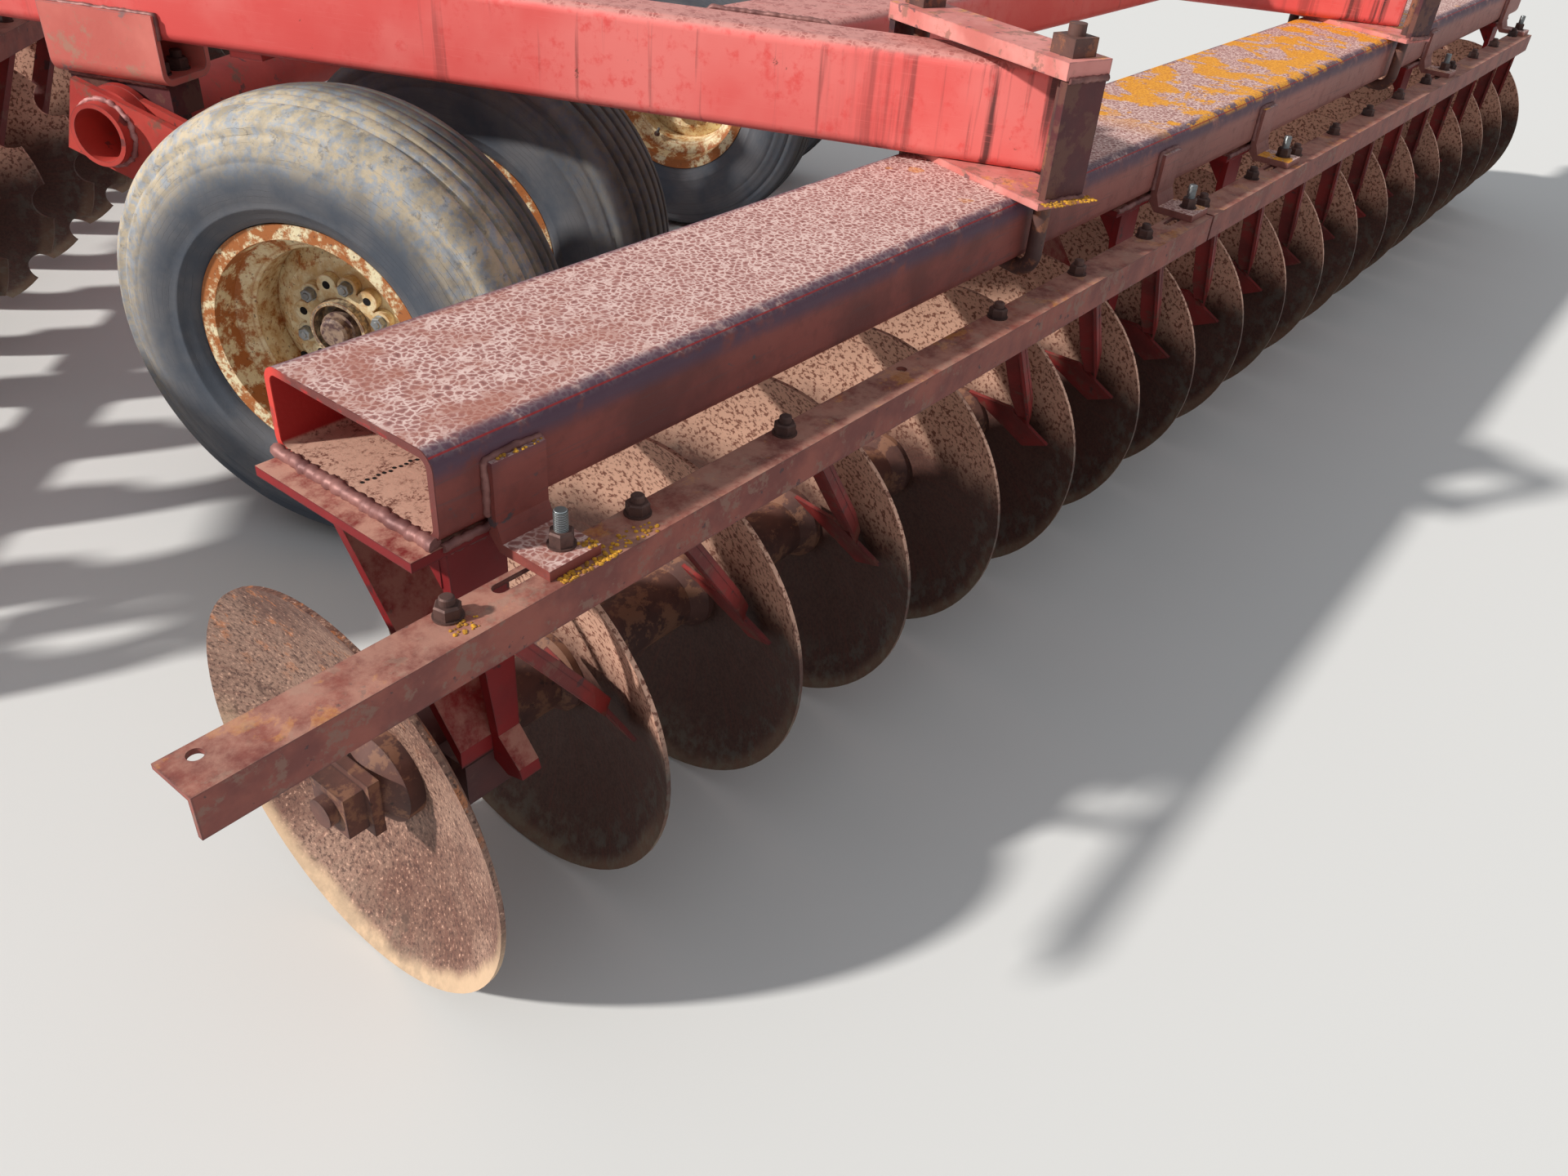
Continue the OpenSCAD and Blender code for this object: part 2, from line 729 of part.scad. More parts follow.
module notched_disc_body() {
    intersection() {
        disc_body();
        rotate([0, 90, 0])
            translate([0, 0, -10])
                linear_extrude(height = disc_depth + 30)
                    difference() {
                        circle(r = disc_r + 5, $fn = 96);
                        for (i = [0:notch_count - 1])
                            rotate((i + 0.5) * 360 / notch_count)
                                translate([disc_r + notch_r - notch_depth, 0]) circle(r = notch_r, $fn = 48);
                    }
    }
}

module disc_set(axle, notched) {
    for (k = [axle[0]:axle[1]])
        translate([k * disc_pitch, 0, 0])
            if (notched) notched_disc_body();
            else disc_body();
}

// Turned piece whose points are [place along the axle, radius].
module turned(points) {
    rotate([90, 0, 90]) rotate_extrude($fn = 64) polygon([for (p = points) [p[1], p[0]]]);
}

flange_r = spool_flange_d / 2;
spool_r = spool_d / 2;
sleeve_r = sleeve_d / 2;

// Flared spool from x0 to x1.
module spool(x0, x1) {
    turned([[x0, 0], [x0, flange_r], [x0 + 10, flange_r], [x0 + 34, spool_r], [x1 - 34, spool_r],
        [x1 - 10, flange_r], [x1, flange_r], [x1, 0]]);
}

// Spool with the bearing's sleeve in its middle.
module bearing_spool(x0, x1, bearing_x) {
    side = housing_w / 2 + 6;
    turned([[x0, 0], [x0, flange_r], [x0 + 10, flange_r], [x0 + 10, sleeve_r], [bearing_x + side, sleeve_r],
        [bearing_x + side, spool_r], [x1 - 26, spool_r], [x1 - 10, flange_r], [x1, flange_r], [x1, 0]]);
}

washer_len = 46;
washer_edge = 22;
plate_len = 14;
end_nut_len = 40;
end_len = washer_len + plate_len + end_nut_len;

// Domed end washer, square lock plate and nut, running from the disc's flat at x to the side out.
module axle_end(x, out) {
    translate([x, 0, 0])
        scale([out, 1, 1]) {
            turned([[0, 0], [0, flange_r + 2], [washer_edge, flange_r + 2], [washer_len - 8, 40],
                [washer_len, 34], [washer_len, 0]]);
            translate([washer_len - 1, -40, -40]) cube([plate_len + 1, 80, 80]);
            translate([washer_len + plate_len - 1, -30, -30]) cube([end_nut_len - 12, 60, 60]);
            turned([[washer_len, 0], [washer_len, 19], [end_len, 19], [end_len, 0]]);
        }
}

// Spools, square axle through the discs and end pieces, from the first to the last disc of one axle.
module axle_set(axle) {
    first = axle[0] * disc_pitch + disc_depth;
    last = axle[1] * disc_pitch + disc_depth + disc_t;
    color("saddlebrown") {
        for (k = [axle[0]:axle[1] - 1]) {
            x0 = k * disc_pitch + disc_depth + disc_t;
            x1 = (k + 1) * disc_pitch + disc_depth;
            if (len(search(k, hangers)) > 0) bearing_spool(x0, x1, hanger_x(k));
            else spool(x0, x1);
        }
        for (k = [axle[0]:axle[1]])
            translate([k * disc_pitch + disc_depth - 2, 0, 0])
                rotate([45, 0, 0])
                    translate([0, -axle_flats / 2, -axle_flats / 2]) cube([disc_t + 4, axle_flats, axle_flats]);
        axle_end(first, -1);
        axle_end(last, 1);
    }
}

module rear_left_discs() {
    color("saddlebrown") rear_gang() disc_set(axles[0], false);
}

module rear_left_axle() {
    rear_gang() axle_set(axles[0]);
}

module rear_right_discs() {
    color("saddlebrown") rear_gang() disc_set(axles[1], false);
}

module rear_right_axle() {
    rear_gang() axle_set(axles[1]);
}

module front_left_discs() {
    color("saddlebrown") front_gang() disc_set(axles[1], true);
}

module front_left_axle() {
    front_gang() axle_set(axles[1]);
}

module front_right_discs() {
    color("saddlebrown") front_gang() disc_set(axles[0], true);
}

module front_right_axle() {
    front_gang() axle_set(axles[0]);
}

saddle_t = 12;
saddle_len = 237;
saddle_depth = 78;
saddle_side = 45;
saddle_out = frame_w / 2 + saddle_t + seat;

// U-shaped saddle that hangs under a frame beam, over the rockshaft.
module saddle() {
    low = frame_bottom - saddle_depth;
    translate([0, rock_y - saddle_len / 2, 0])
        rotate([90, 0, 180])
                linear_extrude(height = saddle_len)
                    difference() {
                        translate([0, low])
                            tube_section(2 * saddle_out, frame_h, 26);
                        translate([0, low + saddle_t])
                            tube_section(2 * (saddle_out - saddle_t), frame_h, 26 - saddle_t);
                        translate([-frame_w, frame_bottom + saddle_side]) square([2 * frame_w, frame_h]);
                    }
}

module rockshaft_saddles() {
    color("firebrick") for (x = [-frame_half, frame_half]) translate([x, 0, 0]) saddle();
}

bracket_w = 86;
bracket_len = 210;

module bracket() {
    top = frame_bottom - saddle_depth - seat;
    difference() {
        union() {
            translate([-bracket_w / 2, rock_y - bracket_len / 2, top - 60]) cube([bracket_w, bracket_len, 60]);
            translate([-bracket_w / 2, rock_y, rock_lift])
                rotate([0, 90, 0]) cylinder(h = bracket_w, r = rock_d / 2 + 16, $fn = 64);
        }
        translate([-bracket_w, rock_y, rock_lift])
            rotate([0, 90, 0]) cylinder(h = 2 * bracket_w, r = rock_d / 2 + run_gap, $fn = 64);
    }
}

module rockshaft_brackets() {
    color("firebrick") for (x = [-frame_half, frame_half]) translate([x, 0, 0]) bracket();
}

lever_t = 30;
lever_r = 40;

module rockshaft() {
    color("firebrick")
        difference() {
            union() {
                translate([-rock_half, rock_y, rock_lift])
                    rotate([0, 90, 0]) cylinder(h = 2 * rock_half, r = rock_d / 2, $fn = 64);
                rotate([90, 0, 90])
                    linear_extrude(height = lever_t, center = true) {
                        translate([lever_y(0), lever_z(0)]) circle(r = lever_r, $fn = 48);
                        translate([rock_y, rock_lift])
                            rotate(90 - lever_lean)
                                polygon([[0, -90], [lever_len - 70, -34], [lever_len, -38],
                                    [lever_len, 38], [lever_len - 70, 34], [0, 90]]);
                        translate([rock_y, rock_lift]) circle(r = 95, $fn = 48);
                    }
            }
            translate([-rock_half - 1, rock_y, rock_lift])
                rotate([0, 90, 0]) cylinder(h = 2 * rock_half + 2, r = rock_d / 2 - rock_wall, $fn = 64);
            translate([0, lever_y(0), lever_z(0)])
                rotate([0, 90, 0]) cylinder(h = 2 * lever_t, r = pin_d / 2 + lever_pin_gap, center = true, $fn = 48);
        }
}

arm_ahead = 78;
arm_past = 62;
arm_slope = atan2(rock_lift - wheel_lift, rock_y - wheel_y);
arm_pitch = norm([rock_lift - wheel_lift, rock_y - wheel_y]);

arm_nose_r = 76;

// Arm plate with a square end ahead of the rockshaft, or a round one that clears the saddle.
module arm_plate(square_end) {
    ahead = square_end ? arm_ahead : 0;
    rotate([90, 0, 90])
        linear_extrude(height = arm_t)
            translate([rock_y, rock_lift])
                rotate(180 + arm_slope) {
                    polygon([[-ahead, -arm_h / 2], [arm_pitch * 0.7, -arm_h / 2],
                        [arm_pitch + arm_past, -52], [arm_pitch + arm_past, 52],
                        [arm_pitch * 0.7, arm_h / 2], [-ahead, arm_h / 2]]);
                    if (!square_end) circle(r = arm_nose_r, $fn = 64);
                }
}

spindle_over = 55;
spindle_end_len = 18;

// Spindle along +X with its stepped ends, which show in the hubs' recesses.
module spindle(length) {
    full = spindle_d / 2;
    end = full - 6;
    rotate([90, 0, 90])
        rotate_extrude($fn = 64)
            polygon([[0, 0], [end - 5, 0], [end, 4], [end, spindle_end_len], [full, spindle_end_len],
                [full, length - spindle_end_len], [end, length - spindle_end_len], [end, length - 4],
                [end - 5, length], [0, length]]);
}

// One arm: two plates, a ring and a spacer between them, and the spindle through both.
module wheel_arm() {
    difference() {
        union() {
            translate([-arm_x, 0, 0]) arm_plate(true);
            translate([-arm_x + arm_t + arm_gap, 0, 0]) arm_plate(false);
            translate([-arm_x + arm_t - 1, rock_y, rock_lift])
                rotate([0, 90, 0]) cylinder(h = arm_gap + 2, r = arm_nose_r - 2, $fn = 64);
            translate([-outer_wheel_x - spindle_over, wheel_y, wheel_lift])
                spindle(outer_wheel_x - inner_wheel_x + 2 * spindle_over);
            translate([-arm_x + arm_t - 1, rock_y, rock_lift])
                rotate([90, 0, 90])
                    rotate(180 + arm_slope)
                        translate([arm_pitch * 0.35, -25]) linear_extrude(height = arm_gap + 2) square([60, 50]);
        }
        translate([-rock_half, rock_y, rock_lift])
            rotate([0, 90, 0]) cylinder(h = rock_half - arm_x + 2 * arm_t + arm_gap + 40, r = rock_d / 2 + 0.1, $fn = 64);
    }
}

module wheel_arms() {
    color("firebrick") {
        wheel_arm();
        mirror([1, 0, 0]) wheel_arm();
    }
}

tread_w = 210;
groove_w = 12;
groove_depth = 9;
tread_grooves = [-66, -33, 0, 33, 66];

// Tyre cross-section, the wheel's axis along the profile's Y.
module tyre_profile() {
    tyre_r = tyre_d / 2;
    bead_r = rim_d / 2 + seat;
    difference() {
        union() {
            intersection() {
                translate([0, 0]) union() {
                    translate([(tyre_r + bead_r) / 2 - 12, 0]) scale([1, 1.22]) circle(r = tyre_w / 2 / 1.22, $fn = 96);
                    translate([bead_r, -rim_w / 2 + rim_t + seat]) square([60, rim_w - 2 * rim_t - 2 * seat]);
                }
                translate([bead_r, -tyre_w / 2]) square([tyre_r - bead_r - 30, tyre_w]);
            }
            intersection() {
                translate([tyre_r - 380, 0]) circle(r = 380, $fn = 128);
                translate([tyre_r - 60, -tread_w / 2]) square([60, tread_w]);
            }
        }
        for (y = tread_grooves) translate([tyre_r - groove_depth, y - groove_w / 2]) square([30, groove_w]);
        // Room for the rim's flanges.
        for (y = [rim_w / 2 - rim_t - seat, -rim_w / 2 - 30])
            translate([0, y]) square([rim_d / 2 + rim_flange + seat, 30 + rim_t + seat]);
    }
}

module tyre(x) {
    color("dimgray")
        translate([x, wheel_y, wheel_lift]) rotate([0, 90, 0]) rotate_extrude($fn = 96) tyre_profile();
}

module outer_left_tyre() {
    tyre(-outer_wheel_x);
}

module inner_left_tyre() {
    tyre(-inner_wheel_x);
}

module inner_right_tyre() {
    tyre(inner_wheel_x);
}

module outer_right_tyre() {
    tyre(outer_wheel_x);
}

hub_d = 104;
hub_out = 40;
hub_in = 52;
hub_wall = 6;
hub_recess = 30;

rim_well = 34;

// Rim: flange, bead seat, well, bead seat, flange.
module rim_profile() {
    seat_r = rim_d / 2;
    half = rim_w / 2;
    polygon([[seat_r + rim_flange, half], [seat_r + rim_flange, half - rim_t], [seat_r, half - rim_t],
        [seat_r - 4, half - 44], [seat_r - rim_well, half - 62], [seat_r - rim_well, 62 - half],
        [seat_r - 4, 44 - half], [seat_r, rim_t - half], [seat_r + rim_flange, rim_t - half],
        [seat_r + rim_flange, -half], [seat_r - rim_t, -half], [seat_r - rim_t - 4, 48 - half],
        [seat_r - rim_t - rim_well, 66 - half], [seat_r - rim_t - rim_well, half - 66],
        [seat_r - rim_t - 4, half - 48], [seat_r - rim_t, half]]);
}

// Dished wheel disc between the hub's flange and the rim's well.
module wheel_disc_profile() {
    edge = rim_d / 2 - rim_well - 2;
    polygon([[edge, -30], [edge, -20], [118, 4], [50, 4], [50, -6], [114, -6]]);
}

lobe_r = 18;
lobe_turn = 17;

// Hub with its lobed flange, bored for the spindle. The nose points to +Z.
module hub() {
    difference() {
        union() {
            translate([0, 0, -hub_in]) cylinder(h = hub_in + hub_out, r = hub_d / 2, $fn = 64);
            translate([0, 0, 3])
                linear_extrude(height = 18) {
                    circle(r = wheel_bolt_pcd / 2 - 4, $fn = 64);
                    for (i = [0:wheel_lobes - 1])
                        rotate(lobe_turn + i * 360 / wheel_lobes)
                            translate([wheel_bolt_pcd / 2, 0]) circle(r = lobe_r, $fn = 32);
                }
        }
        translate([0, 0, -hub_in - 1])
            cylinder(h = hub_in + hub_out + 2, r = spindle_d / 2 + run_gap, $fn = 64);
        translate([0, 0, hub_out - hub_recess])
            cylinder(h = hub_recess + 1, r = hub_d / 2 - hub_wall, $fn = 64);
    }
}

module wheel(x, out) {
    color("wheat")
        translate([x, wheel_y, wheel_lift])
            rotate([0, out * 90, 0]) {
                rotate_extrude($fn = 96) rim_profile();
                rotate_extrude($fn = 96) wheel_disc_profile();
                hub();
            }
}

module outer_left_wheel() {
    wheel(-outer_wheel_x, -1);
}

module inner_left_wheel() {
    wheel(-inner_wheel_x, 1);
}

module inner_right_wheel() {
    wheel(inner_wheel_x, -1);
}

module outer_right_wheel() {
    wheel(outer_wheel_x, 1);
}

cylinder_turn = atan2(lever_z(0) - anchor_z, anchor_y - lever_y(0));
cylinder_len = norm([anchor_y - lever_y(0), lever_z(0) - anchor_z]);
barrel_len = cylinder_closed - 118;
barrel_eye_r = 32;
barrel_eye_w = lug_gap - 4;

// Local frame of the cylinder: x runs from the anchor's pin to the lever's pin.
module on_cylinder() {
    translate([0, anchor_y, anchor_z])
        rotate([-cylinder_turn, 0, 0]) rotate([0, 0, -90]) children();
}

module cylinder_barrel() {
    color("firebrick")
        on_cylinder()
            difference() {
                union() {
                    rotate([90, 0, 0]) cylinder(h = barrel_eye_w, r = barrel_eye_r, center = true, $fn = 48);
                    translate([0, -20, -barrel_eye_r]) cube([44, 40, 2 * barrel_eye_r]);
                    translate([40, 0, 0]) rotate([0, 90, 0]) cylinder(h = barrel_len - 40, r = barrel_d / 2, $fn = 64);
                    rotate([90, 0, 0])
                        cylinder(h = lug_gap + 2 * anchor_lug_t + 16, r = pin_d / 2 - run_gap, center = true, $fn = 48);
                }
                translate([60, 0, 0])
                    rotate([0, 90, 0]) cylinder(h = barrel_len - 80, r = barrel_d / 2 - 8, $fn = 64);
                translate([50, 0, 0])
                    rotate([0, 90, 0]) cylinder(h = barrel_len, r = rod_d / 2 + run_gap, $fn = 64);
            }
}

fork_gap = lever_t + 8;
fork_t = 16;
fork_r = 40;
fork_half_h = 24;
fork_reach = 80;
fork_base_t = 16;
rod_start = cylinder_len - cylinder_closed + 100;

// Rod with its fork. The fork's pin passes the lever's eye.
module cylinder_rod() {
    fork_back = cylinder_len - fork_reach - fork_base_t;
    color("silver")
        on_cylinder() {
            translate([rod_start, 0, 0])
                rotate([0, 90, 0]) cylinder(h = fork_back + 2 - rod_start, r = rod_d / 2, $fn = 64);
            translate([fork_back, -fork_gap / 2 - fork_t, -fork_half_h])
                cube([fork_base_t, fork_gap + 2 * fork_t, 2 * fork_half_h]);
            for (side = [-1, 1])
                translate([0, side * (fork_gap + fork_t) / 2, 0]) {
                    translate([cylinder_len, 0, 0])
                        rotate([90, 0, 0]) cylinder(h = fork_t, r = fork_r, center = true, $fn = 48);
                    translate([fork_back, -fork_t / 2, -fork_half_h])
                        cube([cylinder_len - fork_back, fork_t, 2 * fork_half_h]);
                }
            translate([cylinder_len, 0, 0])
                rotate([90, 0, 0])
                    cylinder(h = fork_gap + 2 * fork_t + 16, r = pin_d / 2, center = true, $fn = 48);
        }
}

hitch_y = tongue_pin_y + tongue_len;
nose_y = hitch_y - 250;
nose_half = 58;
tongue_turn = atan2(tongue_half - nose_half, nose_y - tongue_pin_y);
tongue_run = norm([tongue_half - nose_half, nose_y - tongue_pin_y]);
tongue_slope = atan2(tongue_pin_z - hitch_lift, tongue_run);
brace_y = tongue_pin_y + brace_ahead;
brace_z = tongue_pin_z - brace_ahead / cos(tongue_turn) * tan(tongue_slope);
brace_half = tongue_half - brace_ahead * tan(tongue_turn) - 20;
nose_wall = 12;
nose_w = 2 * nose_half + tongue_w + 38;
nose_h = tongue_h + 2 * nose_wall + 8;
screw_lug_up = 66;

// Frame of the tongue's nose: its origin is where the beams end, tilted as they are.
module at_nose() {
    translate([0, nose_y, hitch_lift]) rotate([-tongue_slope, 0, 0]) children();
}

tongue_eye_r = 36;
tongue_eye_len = 84;

// Beam and rear eye of the tongue on one side, with the pin that joins it to the front cross tube.
module tongue_beam(side) {
    translate([side * tongue_half, tongue_pin_y, tongue_pin_z]) {
        rotate([90, 0, 90])
            linear_extrude(height = tongue_w, center = true)
                difference() {
                    union() {
                        circle(r = tongue_eye_r, $fn = 48);
                        rotate(-tongue_slope)
                            translate([0, 2 - tongue_eye_r]) square([tongue_eye_len, 2 * tongue_eye_r - 4]);
                    }
                    circle(r = tongue_pin_d / 2 - 1, $fn = 48);
                }
        rotate([0, 0, side * tongue_turn])
            rotate([-tongue_slope, 0, 0])
                tube_y(0, 62, tongue_run / cos(tongue_slope), -tongue_h / 2, tongue_w, tongue_h, 12, 8);
        rotate([0, 90, 0])
            cylinder(h = tongue_lug_gap + 2 * tongue_lug_t + 14, r = tongue_pin_d / 2 - 0.1, center = true, $fn = 48);
    }
}

jack_y = hitch_y - 620;
jack_drop = (jack_y - tongue_pin_y) / cos(tongue_turn) * tan(tongue_slope);
jack_z = tongue_pin_z - jack_drop;
jack_side = tongue_half - (jack_y - tongue_pin_y) * tan(tongue_turn);
jack_d = 60;
jack_x = -300;
jack_stub = 250;
jack_pin_d = 30;
jack_pin_len = 16;

module tongue() {
    color("firebrick") {
        for (side = [-1, 1]) tongue_beam(side);
        at_nose() tube_y(0, -90, 110, -nose_h / 2, nose_w, nose_h, 16, nose_wall);
        tube_x(brace_y, -brace_half, brace_half, brace_z - 38, 76, 76, 10, 6);
        // Lugs for the levelling screw.
        for (edge = [-1, 1])
            translate([edge * 30 - 7, 0, 0])
                rotate([90, 0, 90])
                    linear_extrude(height = 14)
                        difference() {
                            union() {
                                translate([brace_y, brace_z + 38 + screw_lug_up - 36]) circle(r = 30, $fn = 48);
                                translate([brace_y - 30, brace_z + 37]) square([60, screw_lug_up - 36]);
                            }
                            translate([brace_y, brace_z + 38 + screw_lug_up - 36]) circle(r = screw_pin_d / 2, $fn = 48);
                        }
        // Stub and pin for the jack.
        translate([-jack_stub, jack_y, jack_z])
            rotate([0, 90, 0]) cylinder(h = jack_stub - jack_side - 20, r = 36, $fn = 48);
        translate([-jack_stub - jack_pin_len, jack_y, jack_z])
            rotate([0, 90, 0]) cylinder(h = jack_pin_len + 2, r = jack_pin_d / 2, $fn = 48);
    }
}

hitch_ear_t = 18;
hitch_gap = 40;
hitch_ear_r = 46;

module hitch() {
    block_w = nose_w - 2 * nose_wall - 2 * seat;
    block_h = nose_h - 2 * nose_wall - 2 * seat;
    color("maroon")
        difference() {
            union() {
                at_nose()
                    translate([0, 136, 0])
                        rotate([90, 0, 0])
                            linear_extrude(height = 112)
                                intersection() {
                                    square([block_w, block_h], center = true);
                                    rotate(45)
                                        square((block_w + block_h) / sqrt(2) - 8, center = true);
                                }
                for (z = [-hitch_gap / 2 - hitch_ear_t, hitch_gap / 2])
                    translate([0, 0, hitch_lift + z])
                        linear_extrude(height = hitch_ear_t) {
                            translate([0, hitch_y]) circle(r = hitch_ear_r, $fn = 48);
                            polygon([[-hitch_ear_r, hitch_y], [hitch_ear_r, hitch_y],
                                [62, nose_y + 110], [-62, nose_y + 110]]);
                        }
            }
            translate([0, hitch_y, hitch_lift - 80]) cylinder(h = 160, r = hitch_hole_d / 2, $fn = 48);
        }
}

module levelling_screw() {
    y0 = frame_front + front_tube_w - 38;
    y1 = brace_y;
    z1 = brace_z + 38 + screw_lug_up - 36;
    run = norm([y1 - y0, mast_pin_z - z1]);
    turn = atan2(mast_pin_z - z1, y1 - y0);
    color("maroon")
        translate([0, y0, mast_pin_z])
            rotate([-turn, 0, 0])
                for (y = [0, run])
                    translate([0, y, 0]) {
                        rotate([0, 90, 0]) cylinder(h = 46 - 2 * seat, r = 26, center = true, $fn = 48);
                        rotate([0, 90, 0]) cylinder(h = 92, r = screw_pin_d / 2 - 0.1, center = true, $fn = 48);
                    }
    color("maroon")
        translate([0, y0, mast_pin_z])
            rotate([-turn, 0, 0])
                rotate([-90, 0, 0]) {
                    cylinder(h = run, r = 18, $fn = 48);
                    translate([0, 0, run * 0.32]) cylinder(h = run * 0.36, r = 29, $fn = 48);
                }
}

jack_bottom = 260;
jack_top = jack_z + 150;
jack_leg_r = jack_d / 2 - 8;
jack_travel = 130;
foot_r = 75;

module jack_tube() {
    color("firebrick")
        difference() {
            union() {
                translate([jack_x, jack_y, jack_bottom]) cylinder(h = jack_top - jack_bottom, r = jack_d / 2, $fn = 48);
                translate([jack_x + 8, jack_y, jack_z])
                    rotate([0, 90, 0]) cylinder(h = -jack_stub - seat - jack_x - 8, r = 44, $fn = 48);
                // Crank on the top.
                translate([jack_x, jack_y, jack_top - 1]) cylinder(h = 26, r = 12, $fn = 32);
                translate([jack_x - 110, jack_y - 9, jack_top + 12]) cube([122, 18, 12]);
                translate([jack_x - 100, jack_y, jack_top + 20]) cylinder(h = 90, r = 10, $fn = 32);
            }
            translate([jack_x, jack_y, jack_bottom - 1])
                cylinder(h = jack_top - jack_bottom - 12, r = jack_leg_r + run_gap, $fn = 48);
            translate([-jack_stub - jack_pin_len - 0.5, jack_y, jack_z])
                rotate([0, 90, 0]) cylinder(h = jack_pin_len + 10, r = jack_pin_d / 2 + run_gap, $fn = 48);
        }
}

module jack_leg() {
    leg_top = jack_top - 14 - jack_travel;
    color("silver") {
        translate([jack_x, jack_y, 0]) cylinder(h = 10, r = foot_r, $fn = 48);
        translate([jack_x, jack_y, 5]) cylinder(h = leg_top - 5, r = jack_leg_r, $fn = 48);
    }
}

// The corners of the two scraper bars and the last disc and hitch bound the machine.
rear_end_x = rear_gang_x - (bar_over + gang_half) * cos(rear_angle) - bar_rear * sin(rear_angle);
front_end_x = front_gang_x + (bar_over + gang_half) * cos(front_angle) + bar_rear * sin(front_angle);
rear_end_y = rear_gang_y - (gang_half + disc_t) * sin(rear_angle) - disc_r * cos(rear_angle);
middle_x = (rear_end_x + front_end_x) / 2;
middle_y = (rear_end_y + hitch_y + hitch_ear_r) / 2;

// Puts the middle of the machine's outer box over the origin.
module part_frame() {
    translate([-middle_x, -middle_y, 0]) children();
}

part_frame() left_frame_beam();
part_frame() right_frame_beam();
part_frame() rear_diagonal_tube();
part_frame() front_diagonal_tube();
part_frame() front_cross_tube();
part_frame() rear_gang_beam();
part_frame() front_gang_beam();
part_frame() clamp_plates();
part_frame() clamp_straps();
part_frame() clamp_posts();
part_frame() clamp_u_bolts();
part_frame() bearing_hangers();
part_frame() gang_bearings();
part_frame() rear_scraper_bar_left();
part_frame() rear_scraper_bar_right();
part_frame() front_scraper_bars();
part_frame() rear_scrapers();
part_frame() front_scrapers();
part_frame() rockshaft_saddles();
part_frame() rockshaft_brackets();
part_frame() tongue();
part_frame() hitch();
part_frame() levelling_screw();
part_frame() jack_tube();
part_frame() jack_leg();
part_frame() rear_left_discs();
part_frame() rear_left_axle();
part_frame() rear_right_discs();
part_frame() rear_right_axle();
part_frame() front_left_discs();
part_frame() front_left_axle();
part_frame() front_right_discs();
part_frame() front_right_axle();
part_frame() rockshaft();
part_frame() wheel_arms();
part_frame() outer_left_tyre();
part_frame() inner_left_tyre();
part_frame() inner_right_tyre();
part_frame() outer_right_tyre();
part_frame() outer_left_wheel();
part_frame() inner_left_wheel();
part_frame() inner_right_wheel();
part_frame() outer_right_wheel();
part_frame() cylinder_barrel();
part_frame() cylinder_rod();
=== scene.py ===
# Heavy offset disc harrow: finishes, fasteners, welds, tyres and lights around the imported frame
import math
import random

import bmesh
import bpy
from mathutils import Euler, Matrix, Vector


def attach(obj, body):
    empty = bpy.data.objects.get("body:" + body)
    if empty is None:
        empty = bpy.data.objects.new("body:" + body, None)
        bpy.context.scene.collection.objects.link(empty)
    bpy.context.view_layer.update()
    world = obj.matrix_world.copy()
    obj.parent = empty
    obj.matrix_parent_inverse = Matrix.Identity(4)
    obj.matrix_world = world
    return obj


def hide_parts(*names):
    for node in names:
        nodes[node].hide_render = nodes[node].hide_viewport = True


print("loading the frame")
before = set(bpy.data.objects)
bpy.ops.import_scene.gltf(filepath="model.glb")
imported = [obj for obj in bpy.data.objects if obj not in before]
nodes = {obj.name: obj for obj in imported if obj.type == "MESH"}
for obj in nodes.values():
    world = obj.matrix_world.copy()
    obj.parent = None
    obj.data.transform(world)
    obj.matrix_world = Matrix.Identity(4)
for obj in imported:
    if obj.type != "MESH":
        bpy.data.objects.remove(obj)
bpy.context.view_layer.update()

# Sizes repeated from the part, in millimetres
machine = {"middleX": 34.339, "middleY": 1362.994, "axleLift": 266.7, "pitch": 254, "discs": 19, "split": 8,
           "frameHalf": 871.5, "wheelY": 514, "wheelLift": 390, "outerWheel": 1168, "innerWheel": 662,
           "rockY": 1100, "rockLift": 583}
gangs = {"rear": {"x": 24, "y": -911.5, "angle": 23.5, "mirrored": False},
         "front": {"x": 0, "y": 2132, "angle": 20.0, "mirrored": True}}
bar = {"top": 336.6, "under": 324.3, "boltBefore": 213.6, "boltBehind": 179.3}
strap = {"top": 348.9, "under": 330.6, "shift": 7}
pitch, frameX = machine["pitch"], machine["frameHalf"]
gangHalf = (machine["discs"] - 1) / 2 * pitch
hangerDiscs = [0, machine["split"] - 2, machine["split"], machine["split"] + 5, machine["discs"] - 2]
strapDiscs = [0.7, machine["split"] - 1.15, machine["split"] + 0.8, machine["split"] + 5.8,
              machine["discs"] - 1.6]


def spot(x, y, z):
    return Vector((x - machine["middleX"], y - machine["middleY"], z)) / 1000


def gangMatrix(which):
    gang = gangs[which]
    place = Matrix.Translation(spot(gang["x"], gang["y"], machine["axleLift"]))
    if gang["mirrored"]:
        place = place @ Matrix.Scale(-1, 4, (1, 0, 0))
    turn = Matrix.Rotation(-math.radians(gang["angle"]), 4, "Z")
    return place @ turn @ Matrix.Translation((-gangHalf / 1000, 0, 0))


gangMatrices = {which: gangMatrix(which) for which in gangs}


def gangSpot(which, x, y, z):
    return gangMatrices[which] @ Vector((x / 1000, y / 1000, z / 1000))


# Distance along a gang where it crosses a line at the given place across the machine
def gangCrossing(which, machineX, y):
    gang = gangs[which]
    angle = math.radians(gang["angle"])
    across = gang["x"] - machineX if gang["mirrored"] else machineX - gang["x"]
    return gangHalf + (across - y * math.sin(angle)) / math.cos(angle)


def gangAt(which, machineX, y, z):
    return gangSpot(which, gangCrossing(which, machineX, y), y, z)


